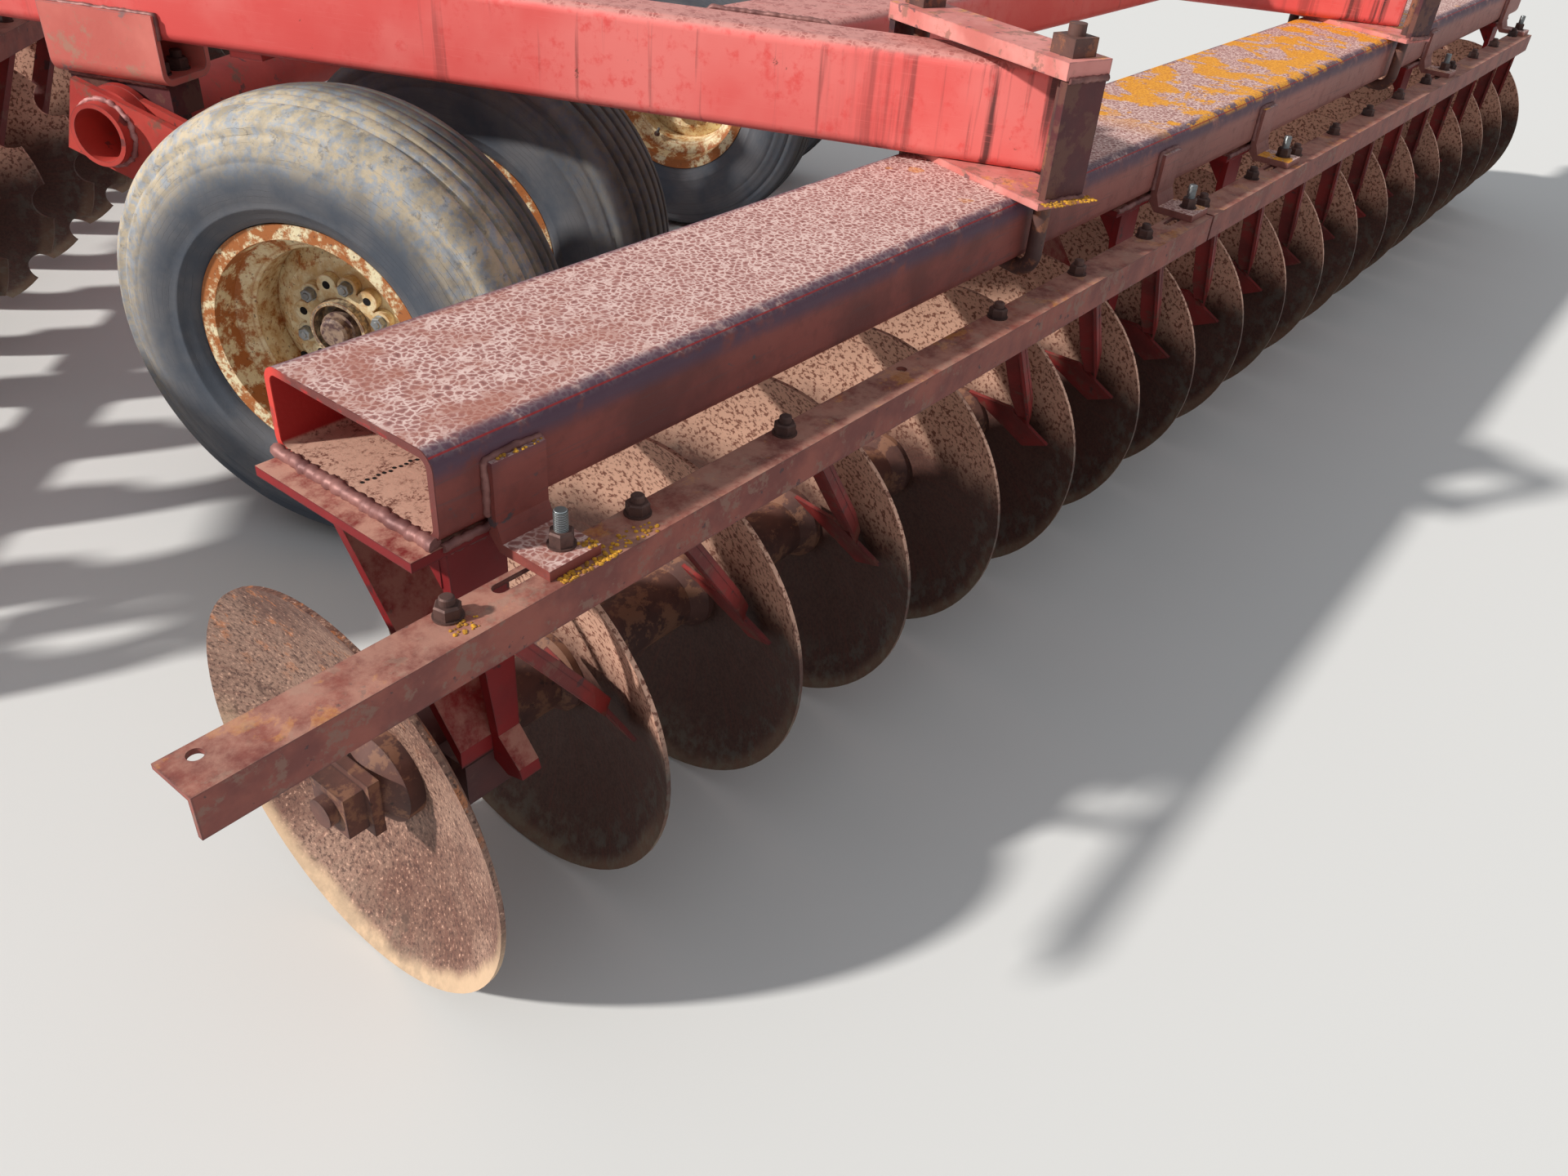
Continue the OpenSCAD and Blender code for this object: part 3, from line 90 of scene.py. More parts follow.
# Nodes of one tree, with what feeds each of their sockets
class Wiring:
    def __init__(self, tree):
        self.tree = tree

    def feed(self, socket, value):
        if isinstance(value, bpy.types.NodeSocket):
            self.tree.links.new(value, socket)
        else:
            socket.default_value = value

    def add(self, kind, feeds=None, **settings):
        node = self.tree.nodes.new(kind)
        for key, value in settings.items():
            setattr(node, key, value)
        for key, value in (feeds or {}).items():
            self.feed(node.inputs[key], value)
        return node

    def calc(self, operation, *values):
        return self.add("ShaderNodeMath", dict(enumerate(values)), operation=operation).outputs[0]

    def times(self, *values):
        total = values[0]
        for value in values[1:]:
            total = self.calc("MULTIPLY", total, value)
        return total

    def plus(self, first, second):
        return self.calc("ADD", first, second)

    def minus(self, first, second):
        return self.calc("SUBTRACT", first, second)

    # Vector that wanders by the given amount, as a noise of that scale does
    def wander(self, feeds, amount):
        colour = self.add("ShaderNodeTexNoise", {**feeds, "Detail": 2}).outputs["Color"]
        centred = self.add("ShaderNodeVectorMath", {0: colour, 1: (0.5, 0.5, 0.5)}, operation="SUBTRACT")
        feeds = {0: centred.outputs[0], "Scale": amount}
        return self.add("ShaderNodeVectorMath", feeds, operation="SCALE").outputs[0]


def paint(red, green, blue):
    def linear(value):
        value /= 255
        return value / 12.92 if value <= 0.04045 else ((value + 0.055) / 1.055) ** 2.4
    return (linear(red), linear(green), linear(blue), 1)


# Camera, at the photograph's viewing angle
print("camera and lights")
cameraLook = {"place": (-2.96136, -2.03867, 1.32230), "turn": (54.1318, -4.0676, -74.9339), "lens": 28.232}
cameraData = bpy.data.cameras.new("camera")
cameraData.lens = cameraLook["lens"]
cameraData.sensor_width = 36
cameraData.clip_end = 200
camera = bpy.data.objects.new("camera", cameraData)
camera.location = cameraLook["place"]
camera.rotation_euler = [math.radians(a) for a in cameraLook["turn"]]
bpy.context.scene.collection.objects.link(camera)
bpy.context.scene.camera = camera

# Light: a sun of small spread from the front left and an even sky, over a pale floor
lightLook = {"sunWay": (0.505, -0.682, -0.53), "sunStrength": 4.0, "sunSpread": 3.0, "sunColour": (1.0, 0.97, 0.92),
             "skyStrength": 0.45, "skyColour": (0.93, 0.96, 1.0), "floorColour": (0.72, 0.72, 0.71),
             "floorHalf": 40, "floorDrop": 0.002}


def buildLights():
    sun = bpy.data.lights.new("sun", "SUN")
    sun.energy = lightLook["sunStrength"]
    sun.angle = math.radians(lightLook["sunSpread"])
    sun.color = lightLook["sunColour"]
    sunObject = bpy.data.objects.new("sun", sun)
    sunObject.rotation_euler = Vector(lightLook["sunWay"]).to_track_quat("-Z", "Y").to_euler()
    bpy.context.scene.collection.objects.link(sunObject)
    world = bpy.data.worlds.new("studio")
    bpy.context.scene.world = world
    world.use_nodes = True
    world.node_tree.nodes.clear()
    wiring = Wiring(world.node_tree)
    feeds = {"Color": (*lightLook["skyColour"], 1), "Strength": lightLook["skyStrength"]}
    sky = wiring.add("ShaderNodeBackground", feeds).outputs[0]
    white = wiring.add("ShaderNodeBackground", {"Color": (1, 1, 1, 1), "Strength": 1.0}).outputs[0]
    rays = wiring.add("ShaderNodeLightPath").outputs
    seen = wiring.calc("MAXIMUM", rays["Is Camera Ray"], rays["Is Transmission Ray"])
    chosen = wiring.add("ShaderNodeMixShader", {0: seen, 1: sky, 2: white}).outputs[0]
    wiring.add("ShaderNodeOutputWorld", {"Surface": chosen})
    bpy.context.scene.view_settings.view_transform = "Standard"


def buildFloor():
    mesh = bpy.data.meshes.new("studioFloor")
    half = lightLook["floorHalf"]
    mesh.from_pydata([(-half, -half, 0), (half, -half, 0), (half, half, 0), (-half, half, 0)], [], [(0, 1, 2, 3)])
    floor = bpy.data.objects.new("studioFloor", mesh)
    bpy.context.scene.collection.objects.link(floor)
    material = bpy.data.materials.new("paleFloor")
    material.use_nodes = True
    inputs = material.node_tree.nodes["Principled BSDF"].inputs
    inputs["Base Color"].default_value = (*lightLook["floorColour"], 1)
    inputs["Roughness"].default_value = 0.9
    inputs["Specular IOR Level"].default_value = 0.1
    mesh.materials.append(material)
    floor.location.z = -lightLook["floorDrop"]


buildLights()
buildFloor()


# Patterns and layers shared by all finishes
class Finish(Wiring):
    def __init__(self, name):
        self.material = bpy.data.materials.new(name)
        self.material.use_nodes = True
        super().__init__(self.material.node_tree)
        coordinates = self.add("ShaderNodeTexCoord")
        self.origin = coordinates.outputs["Object"]
        self.normal = coordinates.outputs["Normal"]

    def split(self, vector):
        return self.add("ShaderNodeSeparateXYZ", {0: vector}).outputs

    def mapped(self, vector, location=(0, 0, 0), rotation=(0, 0, 0), scale=(1, 1, 1)):
        feeds = {"Vector": vector, "Location": location, "Rotation": rotation, "Scale": scale}
        return self.add("ShaderNodeMapping", feeds).outputs[0]

    def noise(self, vector, scale, detail=4.0, rough=0.6, distortion=0.0):
        feeds = {"Vector": vector, "Scale": scale, "Detail": detail, "Roughness": rough, "Distortion": distortion}
        return self.add("ShaderNodeTexNoise", feeds).outputs["Fac"]

    def cells(self, vector, scale, feature="F1"):
        feeds = {"Vector": vector, "Scale": scale}
        return self.add("ShaderNodeTexVoronoi", feeds, feature=feature).outputs["Distance"]

    def shaken(self, vector, scale, amount):
        feeds = {0: vector, 1: self.wander({"Vector": vector, "Scale": scale}, amount)}
        return self.add("ShaderNodeVectorMath", feeds, operation="ADD").outputs[0]

    # From 0 at the first level to 1 at the second
    def ease(self, value, low, high):
        falling = low > high
        feeds = {"Value": value, "From Min": min(low, high), "From Max": max(low, high),
                 "To Min": 1 if falling else 0, "To Max": 0 if falling else 1}
        return self.add("ShaderNodeMapRange", feeds, interpolation_type="SMOOTHSTEP").outputs["Result"]

    def spots(self, vector, scale, low, high, detail=4.0, rough=0.6):
        return self.ease(self.noise(vector, scale, detail, rough), low, high)

    def mix(self, amount, first, second):
        return self.add("ShaderNodeMix", {"Factor": amount, 6: first, 7: second}, data_type="RGBA").outputs[2]

    # The second colour laid over the first where the mask is, at the given share
    def over(self, colour, second, mask, share=1):
        return self.mix(mask if share == 1 else self.times(mask, share), colour, second)

    def length(self, first, second):
        return self.calc("SQRT", self.plus(self.times(first, first), self.times(second, second)))

    def upward(self):
        return self.ease(self.split(self.normal)[2], 0.35, 0.8)

    # Edges that a corner of the given radius would round off
    def worn(self, radius):
        rounded = self.add("ShaderNodeBevel", {"Radius": radius}, samples=4).outputs[0]
        feeds = {0: rounded, 1: self.add("ShaderNodeNewGeometry").outputs["Normal"]}
        dot = self.add("ShaderNodeVectorMath", feeds, operation="DOT_PRODUCT").outputs["Value"]
        return self.ease(self.minus(1.0, dot), 0.02, 0.12)

    def bump(self, height, strength, distance):
        feeds = {"Height": height, "Strength": strength, "Distance": distance}
        return self.add("ShaderNodeBump", feeds).outputs[0]

    def done(self, colour, roughness, normal, metallic=0.0, specular=0.4):
        inputs = self.tree.nodes["Principled BSDF"].inputs
        for label, value in (("Base Color", colour), ("Roughness", roughness), ("Normal", normal),
                             ("Metallic", metallic), ("Specular IOR Level", specular)):
            self.feed(inputs[label], value)
        return self.material


def painted(look):
    return {key: paint(*value) if isinstance(value, tuple) else value for key, value in look.items()}


def alongGang(finish, which):
    gang = gangs[which]
    angle = math.radians(gang["angle"])
    scale = (-1, 1, 1) if gang["mirrored"] else (1, 1, 1)
    centre = spot(gang["x"], gang["y"], machine["axleLift"])
    turned = Matrix.Rotation(angle, 3, "Z") @ Vector((centre.x * scale[0], centre.y, centre.z))
    location = Vector((gangHalf / 1000, 0, 0)) - turned
    return finish.mapped(finish.origin, location=location, rotation=(0, 0, angle), scale=scale)


def scratches(finish, vector, turn, scale, width):
    line = finish.noise(finish.mapped(vector, rotation=turn, scale=scale), 1.0, 2.0, 0.5)
    return finish.ease(finish.calc("ABSOLUTE", finish.minus(line, 0.5)), width, 0.0)


lichenLook = {"bright": (242, 172, 52), "dark": (212, 138, 44)}


def lichenColour(finish, vector):
    look = painted(lichenLook)
    return finish.mix(finish.spots(vector, 220, 0.4, 0.62, 3), look["dark"], look["bright"])


# Places on a gang beam that the paint reads, in metres
beam = {"ahead": 0.016, "inner": 0.126, "floor": 0.372, "ceiling": 0.458, "start": 0.083}
gangPaintLook = {"topDeep": (164, 114, 108), "topPale": (226, 196, 188), "topDark": (118, 76, 72),
                 "topWarm": (166, 104, 88), "side": (138, 70, 62), "sideDeep": (104, 52, 48),
                 "sidePale": (176, 122, 112), "flaked": (84, 70, 72), "corner": (78, 58, 78),
                 "inside": (168, 34, 34), "floor": (204, 162, 142), "floorDark": (120, 78, 66),
                 "end": (206, 64, 54)}


def gangPaint(which, lichenFrom, lichenTo):
    look = painted(gangPaintLook)
    finish = Finish(which + "GangPaint")
    local = alongGang(finish, which)
    x, y, z = finish.split(local)
    up = finish.upward()
    outward = finish.calc("ABSOLUTE", finish.minus(y, beam["ahead"]))
    cell = finish.cells(finish.shaken(local, 60, 0.012), 112, "DISTANCE_TO_EDGE")
    speck = finish.noise(local, 230, 4, 0.7)
    broad = finish.noise(local, 4.5, 5)
    fine = finish.noise(local, 46)
    level = finish.plus(cell, finish.times(finish.minus(speck, 0.5), 0.5))
    top = finish.mix(finish.ease(level, 0.20, 0.02), look["topDeep"], look["topPale"])
    top = finish.over(top, look["topDark"], finish.ease(level, 0.26, 0.42), 0.75)
    top = finish.over(top, look["topDeep"], finish.ease(fine, 0.46, 0.68), 0.35)
    warm = finish.times(finish.ease(x, 0.75, 0.12), finish.spots(local, 17, 0.40, 0.66, 5))
    top = finish.over(top, look["topWarm"], warm, 0.8)
    side = finish.mix(finish.ease(broad, 0.4, 0.62), look["side"], look["sideDeep"])
    side = finish.over(side, look["sidePale"], finish.ease(x, 0.9, 2.4), 0.65)
    side = finish.over(side, look["sideDeep"], finish.ease(fine, 0.5, 0.7), 0.4)
    flake = finish.spots(finish.mapped(local, scale=(0.6, 1, 1)), 13, 0.63, 0.655, 6, 0.66)
    side = finish.over(side, look["flaked"], flake, finish.ease(x, 1.5, 0.5))
    side = finish.over(side, look["flaked"],
                       scratches(finish, local, (0, math.radians(-7), 0), (1.6, 60, 90), 0.012), 0.4)
    colour = finish.mix(up, side, top)
    band = finish.times(finish.ease(outward, 0.108, 0.124), finish.ease(z, 0.428, 0.450),
                        finish.spots(local, 30, 0.25, 0.5))
    colour = finish.over(colour, look["corner"], band, 0.85)
    grown = finish.times(finish.ease(finish.noise(local, 8.5, 7, 0.72, 0.3), 0.498, 0.520), up,
                         finish.ease(x, lichenFrom - 0.12, lichenFrom + 0.1),
                         finish.ease(x, lichenTo + 0.25, lichenTo - 0.1))
    dots = finish.ease(finish.cells(finish.shaken(local, 70, 0.02), 9.5), 0.15, 0.12)
    dots = finish.times(dots, up, finish.ease(x, 0.9, 1.5))
    grown = finish.calc("MAXIMUM", grown, dots)
    colour = finish.over(colour, lichenColour(finish, local), grown)
    within = finish.times(finish.ease(outward, beam["inner"] + 0.0045, beam["inner"] + 0.003),
                          finish.ease(z, beam["floor"] - 0.005, beam["floor"] - 0.0035),
                          finish.ease(z, beam["ceiling"] + 0.0045, beam["ceiling"] + 0.003))
    floor = finish.mix(finish.ease(speck, 0.46, 0.6), look["floor"], look["floorDark"])
    floor = finish.over(floor, look["floor"], finish.ease(fine, 0.4, 0.6))
    near = finish.times(up, finish.ease(z, beam["floor"] + 0.008, beam["floor"] + 0.004))
    colour = finish.over(colour, finish.mix(near, look["inside"], floor), within)
    ending = finish.mix(finish.ease(y, 0.10, 0.14), look["sideDeep"], look["end"])
    edge = finish.ease(x, beam["start"] + 0.0016, beam["start"] + 0.0008)
    colour = finish.over(colour, ending, edge, finish.ease(fine, 0.72, 0.5))
    height = finish.plus(finish.times(cell, 0.5), finish.times(speck, 0.5))
    height = finish.plus(height, finish.times(grown, finish.noise(local, 300, 2)))
    rough = finish.plus(0.50, finish.times(finish.noise(local, 25, 3), 0.2))
    return finish.done(colour, rough, finish.bump(height, 0.35, 0.0016))


framePaintLook = {"side": (226, 86, 82), "sidePale": (234, 122, 116), "top": (206, 142, 134),
                  "topDeep": (164, 94, 88), "rust": (112, 66, 54), "streak": (96, 52, 50),
                  "edge": (104, 70, 68)}


# Faded red with drips, which gather towards the end of a beam where one is given
def framePaint(name, streakEnd=None):
    look = painted(framePaintLook)
    finish = Finish(name)
    place = finish.origin
    fine = finish.noise(place, 40, 5, 0.65)
    side = finish.mix(finish.spots(place, 2.6, 0.35, 0.65, 4, 0.55), look["side"], look["sidePale"])
    side = finish.over(side, look["side"], finish.ease(fine, 0.50, 0.72))
    drip = finish.noise(finish.mapped(place, scale=(38, 38, 1.6)), 1.0)
    wet = finish.times(finish.spots(place, 1.3, 0.45, 0.62, 2), 0.55)
    side = finish.over(side, look["streak"], finish.ease(drip, 0.60, 0.72), wet)
    if streakEnd is not None:
        end = spot(0, streakEnd, 0).y
        close = finish.ease(finish.split(place)[1], end + 0.42, end + 0.05)
        side = finish.over(side, look["streak"], finish.ease(drip, 0.50, 0.66), close)
    net = finish.cells(finish.shaken(place, 50, 0.012), 90, "DISTANCE_TO_EDGE")
    top = finish.mix(finish.ease(net, 0.14, 0.03), look["topDeep"], look["top"])
    top = finish.over(top, look["top"], finish.ease(fine, 0.36, 0.6))
    colour = finish.mix(finish.upward(), side, top)
    chips = finish.spots(place, 15, 0.66, 0.69, 6, 0.7)
    colour = finish.over(colour, look["rust"], chips, 0.8)
    lines = scratches(finish, place, (math.radians(4), 0, 0), (60, 1.4, 110), 0.008)
    colour = finish.over(colour, look["sidePale"], lines, 0.35)
    edges = finish.times(finish.worn(0.006), finish.spots(place, 22, 0.3, 0.55))
    colour = finish.over(colour, look["edge"], edges, 0.8)
    height = finish.plus(fine, finish.times(chips, -0.8))
    return finish.done(colour, finish.plus(0.40, finish.times(fine, 0.22)), finish.bump(height, 0.22, 0.0014))


# Distance from the wheels' axis, height above it and distance from the machine's middle
def wheelPlace(finish):
    centre = spot(0, machine["wheelY"], machine["wheelLift"])
    x, y, z = finish.split(finish.origin)
    height = finish.minus(z, centre.z)
    radius = finish.length(finish.minus(y, centre.y), height)
    return radius, height, finish.calc("ABSOLUTE", finish.minus(x, centre.x))


wornLook = {"dust": (206, 158, 138), "bare": (150, 126, 108)}


# Worn paint from four colours, with patches, blots, bare edges, and where asked for lichen, dust and a bare spindle
def wornPaint(name, base, deep, rust, dark, rustLevel=0.58, patch=14.0, roughness=0.5, local=None, lichen=0.0,
              dusty=0.0, bareHub=False):
    finish = Finish(name)
    place = alongGang(finish, local) if local else finish.origin
    fine = finish.noise(place, 60, 5, 0.65)
    colour = finish.mix(finish.spots(place, patch * 0.4, 0.35, 0.65), base, deep)
    patches = finish.noise(place, patch, 6, 0.68)
    colour = finish.over(colour, rust, finish.ease(patches, rustLevel, rustLevel + 0.08), 0.9)
    colour = finish.over(colour, dark, finish.spots(place, patch * 1.7, 0.64, 0.68, 5), 0.75)
    colour = finish.over(colour, rust, finish.ease(fine, 0.55, 0.75), 0.45)
    edges = finish.times(finish.worn(0.004), finish.spots(place, 30, 0.3, 0.6))
    colour = finish.over(colour, dark, edges, 0.7)
    if lichen > 0:
        grown = finish.ease(finish.noise(place, 16, 6, 0.7, 0.4), 0.56, 0.62)
        colour = finish.over(colour, lichenColour(finish, place), grown, finish.times(finish.upward(), lichen))
    if dusty > 0:
        laid = finish.times(finish.upward(), finish.spots(place, 26, 0.3, 0.62, 5, 0.7))
        colour = finish.over(colour, painted(wornLook)["dust"], laid, dusty)
    if bareHub:
        steel = finish.mix(finish.ease(fine, 0.4, 0.6), painted(wornLook)["bare"], dark)
        colour = finish.over(colour, steel, finish.ease(wheelPlace(finish)[0], 0.037, 0.034))
    rough = finish.plus(roughness, finish.times(patches, 0.2))
    return finish.done(colour, rough, finish.bump(finish.plus(fine, patches), 0.3, 0.0015))


# The pale grain colour also serves as painted sunlight on the other discs' upper parts, and the shade colour is
# painted shade on their lower parts
discLook = {"rust": (110, 76, 64), "deep": (74, 48, 42), "orange": (190, 116, 68),
            "pale": (150, 118, 102), "rim": (206, 176, 144), "soil": (128, 112, 96),
            "worked": (104, 56, 48), "grainAndSunlight": (222, 176, 152), "grainDeep": (134, 86, 70),
            "shade": (86, 58, 50), "grey": (98, 94, 86)}


# The end disc is rusty all over. The others are pale and grained above the axle, where the paleness is painted
# sunlight, and dark below it, which is painted shade under real worked streaks and grey scrapes.
def discSteel(which):
    look = painted(discLook)
    finish = Finish(which + "DiscSteel")
    local = alongGang(finish, which)
    x, y, z = finish.split(local)
    radius = finish.length(y, z)
    turn = finish.times(finish.calc("ARCTAN2", z, y), 1.6)
    polar = finish.add("ShaderNodeCombineXYZ", {0: turn, 1: finish.times(radius, 0.5), 2: x})
    speck = finish.noise(local, 190, 5, 0.72)
    coarse = finish.noise(local, 42, 5, 0.65)
    streak = finish.noise(polar.outputs[0], 26, 5, 0.62)
    near = finish.ease(x, 0.20, 0.10)
    colour = finish.mix(finish.ease(finish.noise(local, 6, 5, 0.6, 0.3), 0.36, 0.62), look["rust"], look["pale"])
    colour = finish.over(colour, look["worked"], finish.ease(streak, 0.50, 0.66), 0.35)
    colour = finish.over(colour, look["deep"], finish.ease(coarse, 0.54, 0.70), 0.7)
    warm = finish.times(finish.spots(local, 30, 0.55, 0.62, 6, 0.72), finish.ease(z, 0.02, 0.2), near)
    colour = finish.over(colour, look["orange"], warm, 0.85)
    colour = finish.over(colour, look["deep"], finish.ease(speck, 0.51, 0.61), 0.9)
    colour = finish.over(colour, look["grainAndSunlight"], finish.ease(speck, 0.43, 0.34), 0.7)
    # Upper colour of the other discs: real speckle grain, its paleness painted sunlight
    grainAndSunlight = finish.mix(finish.spots(local, 140, 0.50, 0.60, 4, 0.62), look["grainAndSunlight"], look["grainDeep"])
    # Lower colour of the other discs: painted shade, with real worked streaks and grey scrapes laid over it
    shade = finish.mix(finish.ease(speck, 0.42, 0.6), look["shade"], look["deep"])
    shade = finish.over(shade, look["worked"], finish.ease(streak, 0.5, 0.66), 0.4)
    greyed = finish.times(finish.ease(radius, 0.17, 0.25), finish.ease(coarse, 0.46, 0.62))
    shade = finish.over(shade, look["grey"], greyed, 0.7)
    # Split by height: painted sunlight above the axle, painted shade below it
    high = finish.plus(z, finish.times(finish.minus(finish.noise(local, 9), 0.5), 0.1))
    colour = finish.mix(near, finish.mix(finish.ease(high, 0.03, 0.13), shade, grainAndSunlight), colour)
    rim = finish.plus(radius, finish.times(finish.noise(local, 7), 0.05))
    rim = finish.times(finish.ease(rim, 0.266, 0.284), finish.ease(z, 0.02, -0.12))
    colour = finish.over(colour, look["rim"], rim, finish.calc("MULTIPLY_ADD", near, 0.7, 0.2))
    soil = finish.times(finish.ease(z, -0.17, -0.26), finish.ease(coarse, 0.35, 0.6))
    colour = finish.over(colour, look["soil"], soil, 0.4)
    height = finish.plus(speck, finish.times(streak, 0.3))
    rough = finish.plus(0.50, finish.times(coarse, 0.25))
    return finish.done(colour, rough, finish.bump(height, 0.35, 0.0014), metallic=0.1)


rubberLook = {"side": (76, 82, 92), "worn": (102, 102, 106), "black": (32, 32, 38),
              "dust": (198, 182, 156), "chalk": (168, 172, 178), "clean": (112, 110, 110)}


def tyreRubber():
    look = painted(rubberLook)
    finish = Finish("crackedRubber")
    radius, z, x = wheelPlace(finish)
    place = finish.origin
    fine = finish.noise(place, 110, 5, 0.7)
    broad = finish.noise(place, 7, 5)
    colour = finish.mix(finish.ease(broad, 0.35, 0.65), look["side"], look["worn"])
    colour = finish.over(colour, look["black"], finish.ease(radius, 0.368, 0.380))
    shoulder = finish.times(finish.ease(radius, 0.270, 0.352), finish.ease(z, -0.30, 0.24),
                            finish.calc("MULTIPLY_ADD", finish.ease(x, 1.12, 1.23), 0.8, 0.2))
    laid = finish.mix(finish.spots(place, 60, 0.44, 0.6, 6, 0.72), look["dust"], look["chalk"])
    level = finish.calc("MULTIPLY_ADD", finish.spots(place, 19, 0.34, 0.60, 6, 0.66), 0.4, 0.6)
    colour = finish.over(colour, laid, shoulder, level)
    bare = finish.times(finish.spots(place, 55, 0.56, 0.66, 5, 0.7), shoulder)
    colour = finish.over(colour, look["clean"], bare, 0.6)
    ring = finish.plus(radius, finish.times(finish.noise(place, 12, 5), 0.014))
    crack = finish.calc("ABSOLUTE", finish.calc("SINE", finish.times(ring, 330)))
    crack = finish.times(finish.ease(crack, 0.10, 0.0), finish.ease(radius, 0.372, 0.35),
                         finish.spots(place, 14, 0.44, 0.58))
    colour = finish.over(colour, look["black"], crack, 0.7)
    height = finish.minus(fine, finish.times(crack, 1.5))
    rough = finish.plus(0.62, finish.times(broad, 0.2))
    return finish.done(colour, rough, finish.bump(height, 0.35, 0.0015), specular=0.3)


rimLook = {"cream": (232, 218, 180), "stain": (206, 170, 118), "orange": (170, 102, 54),
           "deep": (92, 56, 40), "nose": (110, 96, 84)}


def rimPaint():
    look = painted(rimLook)
    finish = Finish("rustedCream")
    radius = wheelPlace(finish)[0]
    place = finish.origin
    fine = finish.noise(place, 90, 5, 0.7)
    patch = finish.noise(place, 24, 6, 0.7)
    hub = finish.ease(radius, 0.112, 0.104)
    level = finish.plus(patch, finish.times(finish.ease(radius, 0.150, 0.19), 0.13))
    level = finish.minus(level, finish.times(hub, 0.12))
    grit = finish.calc("MULTIPLY_ADD", hub, -0.5, 0.8)
    colour = finish.mix(finish.ease(patch, 0.40, 0.62), look["cream"], look["stain"])
    colour = finish.over(colour, look["orange"], finish.ease(level, 0.55, 0.65))
    colour = finish.over(colour, look["orange"], finish.ease(fine, 0.54, 0.64), grit)
    colour = finish.over(colour, look["deep"], finish.spots(place, 150, 0.60, 0.7), grit)
    colour = finish.over(colour, look["nose"], finish.ease(radius, 0.0535, 0.0525), finish.ease(fine, 0.7, 0.4))
    colour = finish.over(colour, look["orange"], finish.worn(0.004), 0.6)
    height = finish.minus(fine, finish.ease(level, 0.52, 0.60))
    return finish.done(colour, 0.62, finish.bump(height, 0.3, 0.0012))


def plainMetal(name, base, deep, roughness, metallic, scale=80.0):
    finish = Finish(name)
    fine = finish.noise(finish.origin, scale, 5, 0.7)
    colour = finish.mix(finish.spots(finish.origin, scale * 0.2, 0.35, 0.65), base, deep)
    colour = finish.over(colour, deep, finish.ease(fine, 0.5, 0.7), 0.5)
    rough = finish.plus(roughness, finish.times(fine, 0.2))
    return finish.done(colour, rough, finish.bump(fine, 0.25, 0.001), metallic=metallic)


threadLook = {"rise": 0.00175, "valley": (74, 74, 72), "crest": (176, 184, 188), "dull": (110, 104, 96)}


def threadMetal():
    look = painted(threadLook)
    finish = Finish("zincThread")
    turns = finish.calc("SINE", finish.times(finish.split(finish.origin)[2], math.tau / look["rise"]))
    colour = finish.mix(finish.ease(turns, -0.2, 0.7), look["valley"], look["crest"])
    colour = finish.over(colour, look["dull"], finish.spots(finish.origin, 120, 0.5, 0.7), 0.4)
    return finish.done(colour, 0.32, finish.bump(turns, 0.5, 0.0006), metallic=0.7)


print("finishes")
# Base, deep, rust and dark colours of the worn paints and steels
wornPaints = {
    "deep": ((142, 18, 22), (118, 18, 22), (104, 50, 44), (62, 32, 34), {"rustLevel": 0.66, "dusty": 0.8}),
    "scraper": ((138, 40, 38), (104, 36, 34), (112, 66, 56), (58, 42, 44), {"rustLevel": 0.54, "patch": 20.0}),
    "post": ((94, 42, 44), (70, 36, 42), (104, 66, 56), (56, 44, 50), {"rustLevel": 0.5}),
    "clamp": ((220, 144, 136), (196, 112, 104), (158, 110, 98), (102, 78, 80),
              {"rustLevel": 0.54, "patch": 22.0, "lichen": 0.5}),
    "rearBar": ((148, 82, 70), (118, 62, 56), (134, 98, 86), (66, 50, 54),
                {"rustLevel": 0.55, "patch": 34.0, "local": "rear", "lichen": 0.3, "dusty": 0.5}),
    "frontBar": ((148, 82, 70), (118, 62, 56), (134, 98, 86), (66, 50, 54),
                 {"rustLevel": 0.55, "patch": 34.0, "local": "front", "lichen": 0.2, "dusty": 0.5}),
    "saddle": ((224, 128, 116), (206, 106, 96), (182, 132, 114), (132, 116, 116), {"patch": 12.0}),
    "arm": ((196, 70, 60), (168, 54, 48), (130, 86, 72), (84, 60, 60), {"rustLevel": 0.57, "bareHub": True}),
    "rust": ((104, 72, 64), (78, 54, 52), (136, 88, 66), (56, 44, 44),
             {"rustLevel": 0.5, "patch": 30.0, "roughness": 0.55}),
    "axle": ((100, 66, 58), (74, 50, 46), (130, 92, 72), (54, 42, 42),
             {"rustLevel": 0.5, "patch": 26.0, "roughness": 0.6}),
    "cast": ((92, 48, 46), (72, 42, 42), (104, 72, 62), (50, 40, 42), {"rustLevel": 0.55})}
# Base and deep colours, roughness, metallic share and the scale of the grain
plainMetals = {
    "zinc": ((166, 170, 172), (120, 118, 116), 0.32, 0.75, 80.0),
    "chrome": ((196, 196, 196), (150, 142, 134), 0.18, 0.9, 80.0),
    "weld": ((150, 104, 98), (112, 72, 70), 0.42, 0.25, 140.0),
    "paleWeld": ((206, 150, 146), (150, 92, 90), 0.45, 0.1, 160.0),
    "bolt": ((104, 78, 72), (72, 54, 52), 0.5, 0.45, 80.0),
    # Near-black for the dishes of painted shade inside holes
    "hole": ((20, 15, 14), (12, 9, 9), 0.8, 0.0, 80.0),
    "lichen": ((228, 168, 54), (150, 104, 42), 0.85, 0.0, 320.0)}
finishes = {
    "rearGang": gangPaint("rear", 1.78, 3.35), "frontGang": gangPaint("front", 1.4, 2.6),
    "frame": framePaint("framePaint"), "leftFrame": framePaint("leftFramePaint", -607),
    "rightFrame": framePaint("rightFramePaint", -1365), "rearDisc": discSteel("rear"),
    "frontDisc": discSteel("front"), "rubber": tyreRubber(), "rim": rimPaint(), "thread": threadMetal()}
